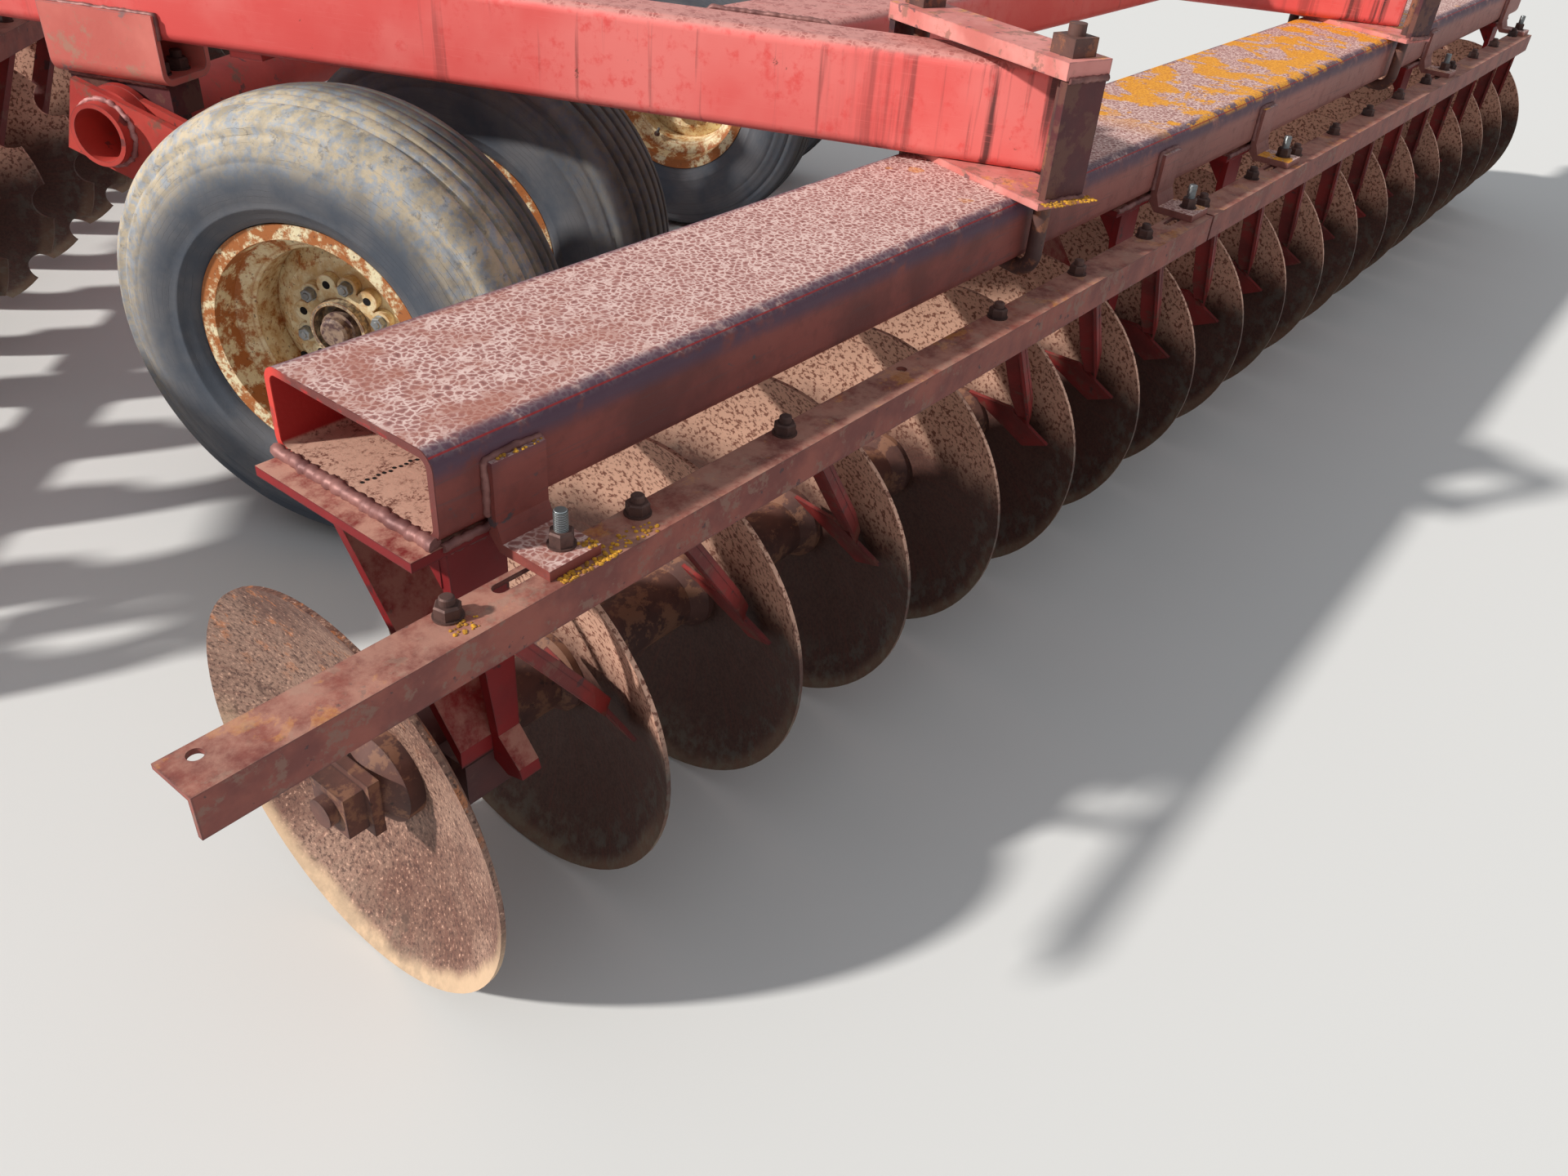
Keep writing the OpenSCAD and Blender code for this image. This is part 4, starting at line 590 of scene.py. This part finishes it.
for name, (*colours, extra) in wornPaints.items():
    finishes[name] = wornPaint(name + "Paint", *[paint(*colour) for colour in colours], **extra)
for name, (base, deep, roughness, metallic, scale) in plainMetals.items():
    finishes[name] = plainMetal(name + "Metal", paint(*base), paint(*deep), roughness, metallic, scale)

# Each wheel's middle across the machine and the side that its hub looks to
wheels = {"outer_left": (-machine["outerWheel"], -1), "inner_left": (-machine["innerWheel"], 1),
          "inner_right": (machine["innerWheel"], -1), "outer_right": (machine["outerWheel"], 1)}
finishNodes = {
    "leftFrame": ["left_frame_beam"], "rightFrame": ["right_frame_beam"], "rearGang": ["rear_gang_beam"],
    "frontGang": ["front_gang_beam"], "deep": ["bearing_hangers"], "cast": ["gang_bearings"],
    "frame": ["rear_diagonal_tube", "front_diagonal_tube", "front_cross_tube", "tongue", "jack_tube",
              "cylinder_barrel"],
    "clamp": ["clamp_plates", "clamp_straps"], "post": ["clamp_posts", "rockshaft_brackets"],
    "rust": ["clamp_u_bolts", "hitch", "levelling_screw"], "saddle": ["rockshaft_saddles"],
    "rearBar": ["rear_scraper_bar_left", "rear_scraper_bar_right"], "frontBar": ["front_scraper_bars"],
    "scraper": ["rear_scrapers", "front_scrapers"], "arm": ["rockshaft", "wheel_arms"],
    "chrome": ["jack_leg", "cylinder_rod"], "rearDisc": ["rear_left_discs", "rear_right_discs"],
    "frontDisc": ["front_left_discs", "front_right_discs"],
    "axle": ["rear_left_axle", "rear_right_axle", "front_left_axle", "front_right_axle"],
    "rubber": [name + "_tyre" for name in wheels], "rim": [name + "_wheel" for name in wheels]}
for finishName, nodeNames in finishNodes.items():
    for nodeName in nodeNames:
        materials = nodes[nodeName].data.materials
        if not len(materials):
            materials.append(None)
        for index in range(len(materials)):
            materials[index] = finishes[finishName]


# Geometry Nodes shared by the fasteners, welds and lichen
class Recipe(Wiring):
    def __init__(self, name, inputs):
        super().__init__(bpy.data.node_groups.new(name, "GeometryNodeTree"))
        sockets = self.tree.interface
        sockets.new_socket("Geometry", in_out="INPUT", socket_type="NodeSocketGeometry")
        self.labels = {}
        for label, value in inputs.items():
            kind = "NodeSocketInt" if isinstance(value, int) else "NodeSocketFloat"
            socket = sockets.new_socket(label, in_out="INPUT", socket_type=kind)
            socket.default_value = value
            self.labels[label] = socket.identifier
        sockets.new_socket("Geometry", in_out="OUTPUT", socket_type="NodeSocketGeometry")
        self.start = self.tree.nodes.new("NodeGroupInput")
        self.end = self.tree.nodes.new("NodeGroupOutput")
        self.given = self.start.outputs["Geometry"]

    def take(self, label):
        return self.start.outputs[label]

    def chance(self, low, high):
        feeds = {2: low, 3: high, 8: self.take("Seed")}
        return self.add("FunctionNodeRandomValue", feeds, data_type="FLOAT").outputs[1]

    def along(self, x=0.0, y=0.0, z=0.0):
        return self.add("ShaderNodeCombineXYZ", {0: x, 1: y, 2: z}).outputs[0]

    def moved(self, geometry, z):
        feeds = {"Geometry": geometry, "Translation": self.along(z=z)}
        return self.add("GeometryNodeTransform", feeds).outputs[0]

    def prism(self, sides, radius, depth, lift):
        feeds = {"Vertices": sides, "Radius": radius, "Depth": depth}
        node = self.add("GeometryNodeMeshCylinder", feeds, fill_type="NGON")
        return self.moved(node.outputs["Mesh"], self.plus(lift, self.times(depth, 0.5)))

    def taper(self, sides, low, high, depth, lift):
        feeds = {"Vertices": sides, "Radius Top": high, "Radius Bottom": low, "Depth": depth}
        node = self.add("GeometryNodeMeshCone", feeds, fill_type="NGON")
        return self.moved(node.outputs["Mesh"], lift)

    def joined(self, *geometries):
        node = self.add("GeometryNodeJoinGeometry")
        for geometry in reversed(geometries):
            self.tree.links.new(geometry, node.inputs[0])
        return node.outputs[0]

    def coated(self, geometry, finishName):
        feeds = {"Geometry": geometry, "Material": finishes[finishName]}
        return self.add("GeometryNodeSetMaterial", feeds).outputs[0]

    def placed(self, piece, points):
        turn = self.add("GeometryNodeInputNamedAttribute", {"Name": "turn"}, data_type="FLOAT_VECTOR")
        rotation = self.add("FunctionNodeEulerToRotation", {"Euler": turn.outputs["Attribute"]})
        feeds = {"Points": points, "Instance": piece, "Rotation": rotation.outputs["Rotation"]}
        return self.add("GeometryNodeInstanceOnPoints", feeds).outputs["Instances"]

    def close(self, geometry):
        whole = self.add("GeometryNodeRealizeInstances", {"Geometry": geometry})
        self.tree.links.new(whole.outputs[0], self.end.inputs[0])


# One point for each fastener, from its place, the way it looks and its turn
def pointMesh(fasteners):
    mesh = bpy.data.meshes.new("spots")
    mesh.from_pydata([tuple(place) for place, way, spin in fasteners], [], [])
    turn = mesh.attributes.new("turn", "FLOAT_VECTOR", "POINT")
    for item, (place, way, spin) in zip(turn.data, fasteners):
        turned = Vector(way).to_track_quat("Z", "Y") @ Euler((0, 0, spin)).to_quaternion()
        item.vector = turned.to_euler()
    return mesh


def lineMesh(lines):
    corners, edges = [], []
    for points, closed in lines:
        first = len(corners)
        corners += [tuple(point) for point in points]
        edges += [(first + i, first + i + 1) for i in range(len(points) - 1)]
        if closed:
            edges.append((len(corners) - 1, first))
    mesh = bpy.data.meshes.new("lines")
    mesh.from_pydata(corners, edges, [])
    return mesh


def ridingPiece(name, mesh, body):
    piece = bpy.data.objects.new(name, mesh)
    bpy.context.scene.collection.objects.link(piece)
    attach(piece, body)
    return piece


def grown(name, recipe, mesh, values, body, slot):
    base = bpy.data.objects.new(name + "Base", mesh)
    bpy.context.scene.collection.objects.link(base)
    modifier = base.modifiers.new("grow", "NODES")
    modifier.node_group = recipe.tree
    for label, value in values.items():
        modifier[recipe.labels[label]] = value
    bpy.context.view_layer.update()
    graph = bpy.context.evaluated_depsgraph_get()
    made = bpy.data.meshes.new_from_object(base.evaluated_get(graph), depsgraph=graph)
    made.name = name
    bpy.data.objects.remove(base)
    ridingPiece(name, made, body)


fastenerShape = {"corner": 0.57735, "straight": 0.86, "crown": 0.88, "tipEnd": 0.8, "tipBevel": 0.0015,
                 "washerSides": 24, "tipSides": 20}


# Hexagon nut or bolt head on a washer, with its threaded tip
def fastenerRecipe(name, nutFinish, tipFinish):
    shape = fastenerShape
    recipe = Recipe(name, {"Across": 0.024, "Height": 0.013, "Tip radius": 0.008, "Tip length": 0.008,
                           "Washer radius": 0.015, "Washer height": 0.0025})
    height, tip, reach = recipe.take("Height"), recipe.take("Tip radius"), recipe.take("Tip length")
    seat = recipe.take("Washer height")
    radius = recipe.times(recipe.take("Across"), shape["corner"])
    straight, bevel = recipe.times(height, shape["straight"]), recipe.times(height, 1 - shape["straight"])
    edge = recipe.plus(seat, straight)
    top = recipe.plus(edge, bevel)
    washer = recipe.prism(shape["washerSides"], recipe.take("Washer radius"), seat, 0.0)
    hexagon = recipe.prism(6, radius, straight, seat)
    crown = recipe.taper(6, radius, recipe.times(radius, shape["crown"]), bevel, edge)
    shank = recipe.prism(shape["tipSides"], tip, reach, top)
    end = recipe.taper(shape["tipSides"], tip, recipe.times(tip, shape["tipEnd"]), shape["tipBevel"],
                       recipe.plus(top, reach))
    whole = recipe.joined(recipe.coated(recipe.joined(washer, hexagon, crown), nutFinish),
                          recipe.coated(recipe.joined(shank, end), tipFinish))
    recipe.close(recipe.placed(whole, recipe.given))
    return recipe


beadShape = {"drift": 70.0, "reach": 4.0, "step": 1.9, "wave": 0.7, "chance": 0.7, "sides": 8}


# Rippled weld bead along lines
def weldRecipe(name, finishName):
    shape = beadShape
    recipe = Recipe(name, {"Radius": 0.006, "Step": 0.004, "Ripple": 0.16, "Wander": 0.0012, "Seed": 3})
    path = recipe.add("GeometryNodeMeshToCurve", {"Mesh": recipe.given}).outputs[0]
    fine = recipe.add("GeometryNodeResampleCurve", {"Curve": path, "Length": recipe.take("Step")}, mode="LENGTH")
    offset = recipe.wander({"Scale": shape["drift"]}, recipe.times(recipe.take("Wander"), shape["reach"]))
    shaken = recipe.add("GeometryNodeSetPosition", {"Geometry": fine.outputs[0], "Offset": offset}).outputs[0]
    index = recipe.add("GeometryNodeInputIndex").outputs[0]
    wave = recipe.calc("SINE", recipe.times(index, shape["step"]))
    sway = recipe.plus(recipe.times(wave, shape["wave"]), recipe.times(recipe.chance(-1.0, 1.0), shape["chance"]))
    size = recipe.plus(1.0, recipe.times(sway, recipe.take("Ripple")))
    ring = recipe.add("GeometryNodeCurvePrimitiveCircle",
                      {"Resolution": shape["sides"], "Radius": recipe.take("Radius")}, mode="RADIUS").outputs[0]
    bead = recipe.add("GeometryNodeCurveToMesh",
                      {"Curve": shaken, "Profile Curve": ring, "Scale": size, "Fill Caps": True}).outputs[0]
    recipe.close(recipe.coated(recipe.add("GeometryNodeSetShadeSmooth", {0: bead}).outputs[0], finishName))
    return recipe


# Crusty tufts scattered over small faces, in patches
def tuftRecipe(name, finishName):
    recipe = Recipe(name, {"Density": 60000.0, "Size": 0.0022, "Patch": 55.0, "Seed": 5})
    patch = recipe.add("ShaderNodeTexNoise", {"Scale": recipe.take("Patch"), "Detail": 3.0}).outputs[0]
    density = recipe.times(recipe.calc("GREATER_THAN", patch, 0.5), recipe.take("Density"))
    points = recipe.add("GeometryNodeDistributePointsOnFaces",
                        {"Mesh": recipe.given, "Seed": recipe.take("Seed"), "Density": density},
                        distribute_method="RANDOM").outputs["Points"]
    ball = recipe.add("GeometryNodeMeshIcoSphere", {"Radius": recipe.take("Size"), "Subdivisions": 1})
    chance = recipe.chance(0.5, 1.5)
    size = recipe.along(chance, chance, recipe.times(chance, 0.6))
    spread = recipe.add("GeometryNodeInstanceOnPoints",
                        {"Points": points, "Instance": ball.outputs["Mesh"], "Scale": size})
    recipe.close(recipe.coated(spread.outputs[0], finishName))
    return recipe


# Legs of a clamp's U-bolt along and across the gang, and its post and plates, in millimetres
clampLook = {"rearLeg": (-82, -156), "frontLeg": (22, 164), "ahead": 16, "postFace": 38, "postHalf": 38,
             "plateTop": 478, "strapBottom": 650}


# A clamp's own frame has its origin at the rear leg and its y axis through the front leg
def clampMatrix(which, machineX):
    rear, front = clampLook["rearLeg"], clampLook["frontLeg"]
    ahead = clampLook["ahead"]
    x = gangCrossing(which, machineX, ahead) + rear[0]
    turn = math.atan2(rear[0] - front[0], front[1] - rear[1])
    place = Matrix.Translation((x / 1000, (ahead + rear[1]) / 1000, 0))
    return gangMatrices[which] @ place @ Matrix.Rotation(turn, 4, "Z")


clampSpan = math.dist(clampLook["rearLeg"], clampLook["frontLeg"])
sides = (-1, 1)
random.seed(11)

print("fasteners")
rustedBolt = fastenerRecipe("rustedFastener", "bolt", "bolt")
studBolt = fastenerRecipe("studFastener", "bolt", "thread")
zincBolt = fastenerRecipe("zincFastener", "zinc", "zinc")
up, down = Vector((0, 0, 1)), Vector((0, 0, -1))


def fastener(place, way):
    return place, way, random.uniform(0, 3)


scraperLook = {"Across": 0.024, "Height": 0.013, "Tip radius": 0.0078, "Tip length": 0.007,
               "Washer radius": 0.0155, "Washer height": 0.002}
lostScrapers = {"rear": (0, 4), "front": ()}
nuts, heads, studs = [], [], []
for which in gangs:
    for disc in range(machine["discs"]):
        if disc not in lostScrapers[which]:
            x = disc * pitch - bar["boltBefore"]
            nuts.append(fastener(gangSpot(which, x, -bar["boltBehind"], bar["top"]), up))
            heads.append(fastener(gangSpot(which, x, -bar["boltBehind"], bar["under"]), down))
    for disc in strapDiscs:
        x = disc * pitch + strap["shift"]
        studs.append(fastener(gangSpot(which, x, -bar["boltBehind"], strap["top"]), up))
        heads.append(fastener(gangSpot(which, x, -bar["boltBehind"], strap["under"]), down))
grown("scraperNuts", rustedBolt, pointMesh(nuts), scraperLook, "frame", "rusty_steel")
grown("scraperBoltHeads", rustedBolt, pointMesh(heads), {**scraperLook, "Height": 0.009, "Tip length": 0.0004},
      "frame", "rusty_steel")
grown("strapStuds", studBolt, pointMesh(studs), {**scraperLook, "Height": 0.016, "Tip length": 0.022}, "frame",
      "rusty_steel")

heavyLook = {"Across": 0.034, "Height": 0.018, "Tip radius": 0.0108, "Tip length": 0.012,
             "Washer radius": 0.021, "Washer height": 0.003}
saddle = {"across": 27, "ahead": 78, "top": 678.7}
nuts = [fastener(spot(side * frameX + left * saddle["across"], machine["rockY"] + back * saddle["ahead"],
                      saddle["top"]), up) for side in sides for left in sides for back in sides]
grown("saddleNuts", rustedBolt, pointMesh(nuts), heavyLook, "frame", "rusty_steel")

pinLook = {"Across": 0.044, "Height": 0.016, "Tip radius": 0.0148, "Tip length": 0.005,
           "Washer radius": 0.026, "Washer height": 0.004}
# Middle of a tongue pin and half of what its nuts span, then the nuts of the turnbuckle's two pins
pins = {"tongue": (560, 2850, 796.7), "tongueHalf": 54.4, "mast": (37.2, 2764, 1192.7), "lug": (50.2, 1626.3, 765.0)}
nuts = []
for side in sides:
    x, y, z = pins["tongue"]
    for out in sides:
        nuts.append(fastener(spot(side * x + out * pins["tongueHalf"], y, z), Vector((out, 0, 0))))
    for x, y, z in (pins["mast"], pins["lug"]):
        nuts.append(fastener(spot(side * x, y, z), Vector((side, 0, 0))))
grown("pinNuts", rustedBolt, pointMesh(nuts), pinLook, "frame", "rusty_steel")

# Wheel bolts in every second hole of the hub's flange, near-black dishes of painted shade in the empty holes between
# them, and the valve.
# The web's hole and the valve stand at a radius, at a turn and so far out.
wheelLook = {"circle": 76, "face": 21.2, "boltTurn": 47, "holeTurn": 17, "holeOut": 0.25, "holeRadius": 0.0072,
             "webHole": (126, 128, 5.2), "valve": (152, 152, 62), "valveLean": 0.006, "thin": 0.0001}
wheelBoltLook = {"Across": 0.0215, "Height": 0.0125, "Tip radius": 0.006, "Tip length": 0.0004,
                 "Washer radius": 0.0125, "Washer height": 0.0008}
valveLook = {"Across": 0.011, "Height": 0.006, "Tip radius": 0.004, "Tip length": 0.018, "Washer radius": 0.0085,
             "Washer height": 0.003}


def wheelSpot(name, radius, turn, out):
    middle, side = wheels[name]
    angle = math.radians(turn)
    return spot(middle + side * out, machine["wheelY"] + radius * math.sin(angle),
                machine["wheelLift"] - side * radius * math.cos(angle))


# Shallow near-black dish over each place, painted shade standing in for the inside of a hole
def dishMesh(name, places, way, radius, depth):
    mesh = bmesh.new()
    turned = Vector(way).to_track_quat("Z", "Y").to_matrix()
    count = 20
    for place in places:
        rings = []
        for reach, sink in ((radius, 0), (0.8 * radius, depth)):
            points = [Vector((reach * math.cos(a), reach * math.sin(a), -sink))
                      for a in [math.tau * i / count for i in range(count)]]
            rings.append([mesh.verts.new(place + turned @ point) for point in points])
        outer, inner = rings
        for i in range(count):
            j = (i + 1) % count
            mesh.faces.new((outer[i], outer[j], inner[j], inner[i]))
        mesh.faces.new(inner)
    made = bpy.data.meshes.new(name)
    mesh.to_mesh(made)
    made.materials.append(finishes["hole"])
    return made


for name, (middle, side) in wheels.items():
    look = wheelLook
    body = name + "_wheel_body"
    way = Vector((side, 0, 0))
    turns = [60 * i for i in range(6)]
    bolts = [fastener(wheelSpot(name, look["circle"], look["boltTurn"] + turn, look["face"]), way) for turn in turns]
    grown(name + "_wheel_bolts", zincBolt, pointMesh(bolts), wheelBoltLook, body, "rod_chrome")
    # Dishes of painted shade in the empty flange holes and the web's hole
    holes = [wheelSpot(name, look["circle"], look["holeTurn"] + turn, look["face"] + look["holeOut"])
             for turn in turns] + [wheelSpot(name, *look["webHole"])]
    ridingPiece(name + "_wheel_holes", dishMesh(name + "Holes", holes, way, look["holeRadius"], look["thin"]), body)
    radius, turn, out = look["valve"]
    inward = wheelSpot(name, 0, turn, 0) - wheelSpot(name, 10, turn, 0)
    stem = (wheelSpot(name, radius, turn, out), inward + Vector((side * look["valveLean"], 0, 0)), 0.0)
    grown(name + "_valve", studBolt, pointMesh([stem]), valveLook, body, "rusty_steel")

# Tyres, turned from a profile with ribs, shoulder step, sidewall rings and bead
print("tyres")
# Rows of the sidewall are a radius and what stands out there. Those of the shoulder are half the width and a radius.
tyreLook = {
    "crown": 380, "crownCentre": 9, "edge": 90, "edgeDrop": 0.6, "bulge": 140, "bulgeCentre": 277.9,
    "bulgeHeight": 114.75, "beadHalf": 103.5, "beadTop": 209, "grooves": (66, 33, 0, -33, -66), "grooveHalf": 4.6,
    "grooveDepth": 8.0, "wallDepth": 7.4, "turns": 144, "wearFrom": 330,
    "sidewall": ((191.2, -2), (196, -1), (208.4, 0), (212, 1.0), (222, 0.4), (234, 0), (237, 2.0), (240, 2.0),
                 (243, 0), (254, 0), (268, 0), (282, 0), (296, 0), (308, 0), (310, -1.2), (312, 0), (324, 0.2),
                 (335, 0.6), (338, 2.4), (342, 2.6), (346, 1.4)),
    "shoulder": [(117.5, 354), (111.5, 363), (103, 370.5)]}


def tyreProfile():
    look = tyreLook

    def crown(offset):
        return look["crownCentre"] + math.sqrt(look["crown"] ** 2 - offset ** 2)

    half = []
    for radius, extra in look["sidewall"]:
        across = look["bulge"] * math.sqrt(1 - ((radius - look["bulgeCentre"]) / look["bulgeHeight"]) ** 2)
        half.append(((min(across, look["beadHalf"]) if radius < look["beadTop"] else across) + extra, radius))
    half += look["shoulder"] + [(look["edge"], crown(look["edge"]) - look["edgeDrop"])]
    steps = []
    wall = look["grooveHalf"]
    flank = ((12, 0), (wall + 1.2, 0), (wall, 1.0), (wall - 1.6, look["wallDepth"]))
    groove = flank + ((0, look["grooveDepth"]),) + tuple((-across, sink) for across, sink in reversed(flank[1:]))
    for middle in look["grooves"]:
        steps += [(middle + across, crown(middle + across) - sink) for across, sink in groove]
    return half + steps + [(-across, radius) for across, radius in reversed(half)]


def tyreMesh(name, middle, side):
    profile = tyreProfile()
    count, turns = len(profile), tyreLook["turns"]
    centre = spot(middle, machine["wheelY"], machine["wheelLift"])
    corners, faces = [], []
    for turn in range(turns):
        angle = math.tau * turn / turns
        for across, radius in profile:
            wear = 0.5 * math.sin(5 * angle + across * 0.02) + 0.35 * math.sin(17 * angle + across * 0.05)
            reach = (radius + (wear * 0.6 if radius > tyreLook["wearFrom"] else 0)) / 1000
            corners.append((centre.x + side * across / 1000, centre.y + reach * math.sin(angle),
                            centre.z + reach * math.cos(angle)))
        here, there = turn * count, (turn + 1) % turns * count
        for i in range(count):
            j = (i + 1) % count
            faces.append((here + i, here + j, there + j, there + i))
    mesh = bpy.data.meshes.new(name)
    mesh.from_pydata(corners, [], faces)
    mesh.validate()
    solid = bmesh.new()
    solid.from_mesh(mesh)
    bmesh.ops.recalc_face_normals(solid, faces=solid.faces)
    solid.to_mesh(mesh)
    for face in mesh.polygons:
        face.use_smooth = True
    mesh.materials.append(finishes["rubber"])
    return mesh


for name, (middle, side) in wheels.items():
    mesh = tyreMesh(name + "WornTyre", middle, side)
    tyre = ridingPiece(name + "_worn_tyre", mesh, name + "_wheel_body")
    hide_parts(name + "_tyre")

print("welds")
beads = weldRecipe("weldBead", "weld")
pale = weldRecipe("paleWeldBead", "paleWeld")


def gangLine(which, *points):
    return [gangSpot(which, *point) for point in points], False


def machineLine(*points):
    return [spot(*point) for point in points], False


def chamfered(low, high, cut, place):
    (a, c), (b, d) = low, high
    corners = ((a + cut, c), (b - cut, c), (b, c + cut), (b, d - cut), (b - cut, d), (a + cut, d), (a, d - cut),
               (a, c + cut))
    return [place(*corner) for corner in corners], True


# Seams of the gang beams, hangers, bar straps and clamps, in a gang's millimetres
endSeam = {"x": 79, "across": (-117, 16, 149), "z": 366}
hangerSeam = {"shift": 7, "sides": (-117.5, 140), "before": 84, "behind": 75, "first": 86, "sideZ": 361.5,
              "ends": (-87, 77), "endFirst": 84, "endSpan": (-96, 130), "endZ": 361, "feet": ((-34, -110), (-36, 135)),
              "footEnd": 36, "footZ": 350}
strapSeam = {"half": 36, "y": -120.5, "low": 376, "high": 438, "peak": 440.5}
crossingSeam = {"inner": 57, "rear": (298.5, 501.5), "front": (-404.5, -201.5), "low": 535, "high": 635, "cut": 12}
thick, thin = [], []
for which in gangs:
    thick.append(gangLine(which, *[(endSeam["x"], y, endSeam["z"]) for y in endSeam["across"]]))
    seam = hangerSeam
    for disc in hangerDiscs:
        x = (disc + 0.5) * pitch + seam["shift"]
        start = max(x - seam["before"], seam["first"])
        for y in seam["sides"]:
            thin.append(gangLine(which, (start, y, seam["sideZ"]), (x + seam["behind"], y, seam["sideZ"])))
        for end in seam["ends"]:
            if x + end > seam["endFirst"]:
                thin.append(gangLine(which, *[(x + end, y, seam["endZ"]) for y in seam["endSpan"]]))
        for begin, y in seam["feet"]:
            thin.append(gangLine(which, (x + begin, y, seam["footZ"]), (x + seam["footEnd"], y, seam["footZ"])))
    half, y, low, high, peak = strapSeam.values()
    for disc in strapDiscs:
        x = disc * pitch
        thin.append(gangLine(which, (x - half, y, low), (x - half, y, high), (x, y, peak), (x + half, y, high),
                             (x + half, y, low)))
    for side in sides:
        matrix = clampMatrix(which, side * frameX)
        half, out = clampLook["postHalf"], clampLook["postFace"]
        for y in (-out - 1, clampSpan + out + 1):
            for z in (clampLook["plateTop"], clampLook["strapBottom"]):
                thin.append(([matrix @ Vector((x / 1000, y / 1000, z / 1000)) for x in (-half, 0, half)], False))
        inner = side * (frameX - crossingSeam["inner"])
        near, far = crossingSeam[which]
        thin.append(chamfered((near, crossingSeam["low"]), (far, crossingSeam["high"]), crossingSeam["cut"],
                              lambda y, z: gangAt(which, inner, y, z)))

# Seams of the rockshaft's brackets and saddles, the front cross tube and the tongue's lugs
bracketSeam = {"face": 58.5, "y": (981, 1219), "z": (748, 790)}
saddleSeam = {"face": 44, "y": (996, 1204), "z": 664.5}
tubeSeam = {"half": 56, "z": (745.5, 902), "cut": 14, "y": 2698.5}
lugSeam = {"x": 560, "face": 55, "y": 2803, "z": (762, 832)}
mastSeam = {"x": 37.8, "y": (2708, 2794), "z": 903.5}
for side in sides:
    for face in sides:
        x = side * frameX + face * bracketSeam["face"]
        (rear, front), (low, high) = bracketSeam["y"], bracketSeam["z"]
        thin.append(machineLine((x, rear, low), (x, rear, high), (x, front, high), (x, front, low)))
        x = side * frameX + face * saddleSeam["face"]
        thin.append(machineLine(*[(x, y, saddleSeam["z"]) for y in saddleSeam["y"]]))
    low, high = tubeSeam["z"]
    thin.append(chamfered((side * frameX - tubeSeam["half"], low), (side * frameX + tubeSeam["half"], high),
                          tubeSeam["cut"], lambda x, z: spot(x, tubeSeam["y"], z)))
    for edge in sides:
        x = side * lugSeam["x"] + edge * lugSeam["face"]
        thin.append(machineLine(*[(x, lugSeam["y"], z) for z in lugSeam["z"]]))
    thin.append(machineLine(*[(side * mastSeam["x"], y, mastSeam["z"]) for y in mastSeam["y"]]))
grown("beamEndWelds", beads, lineMesh(thick),
      {"Radius": 0.0085, "Step": 0.0045, "Ripple": 0.15, "Wander": 0.0016}, "frame", "gang_paint")
grown("frameWelds", beads, lineMesh(thin), {"Radius": 0.0048, "Step": 0.0042, "Ripple": 0.14}, "frame",
      "frame_paint")
armSeam = {"x": 976.5, "radius": 59.5, "count": 40}
rings = []
for side in sides:
    rings.append(([spot(side * armSeam["x"], machine["rockY"] + armSeam["radius"] * math.cos(a),
                        machine["rockLift"] + armSeam["radius"] * math.sin(a))
                   for a in [math.tau * i / armSeam["count"] for i in range(armSeam["count"])]], True))
grown("armRingWelds", pale, lineMesh(rings), {"Radius": 0.0052, "Step": 0.005, "Ripple": 0.28, "Wander": 0.0022},
      "lift", "frame_paint")

# Lichen tufts by the near strap, the first nut and the rear left clamp, and near-black dishes of painted shade for the
# row of holes melted in the floor
print("lichen")
tufts = tuftRecipe("lichenTufts", "lichen")
nearStrap = strapDiscs[0] * pitch
# Each patch's ends along the gang, its edges across it and its height
lichenPatches = (
    (nearStrap - 34, nearStrap + 34, -131, -119, 439.5), (nearStrap + 36, nearStrap + 120, -219, -196, 337),
    (nearStrap - 30, nearStrap + 46, -220.5, -207, 337), (nearStrap + 18, nearStrap + 35, -206, -190, 349.3),
    (26, 60, -212, -192, 337))
clampPatch = (-50, 48, -62, -40, 478.5)


def patchCorners(matrix, x0, x1, y0, y1, z):
    return [matrix @ (Vector((x, y, z)) / 1000) for x, y in ((x0, y0), (x1, y0), (x1, y1), (x0, y1))]


def quads(patches):
    corners = [tuple(corner) for patch in patches for corner in patch]
    mesh = bpy.data.meshes.new("patches")
    mesh.from_pydata(corners, [], [tuple(range(i, i + 4)) for i in range(0, len(corners), 4)])
    return mesh


patches = [patchCorners(gangMatrices["rear"], *patch) for patch in lichenPatches]
patches.append(patchCorners(clampMatrix("rear", -frameX), *clampPatch))
grown("lichenClumps", tufts, quads(patches), {"Density": 90000.0, "Size": 0.0021, "Patch": 48.0}, "frame",
      "gang_paint")
meltLook = {"start": 97, "step": 6.8, "y": 22, "sway": 1.6, "swayStep": 2.3, "z": 372.4, "count": 15,
            "radius": 0.0023, "thin": 0.0001}
melted = [gangSpot("rear", meltLook["start"] + meltLook["step"] * i,
                   meltLook["y"] + meltLook["sway"] * math.sin(i * meltLook["swayStep"]), meltLook["z"])
          for i in range(meltLook["count"])]
# Painted shade in the melted holes
ridingPiece("meltedHoleShade", dishMesh("meltedHoleShade", melted, up, meltLook["radius"], meltLook["thin"]), "frame")
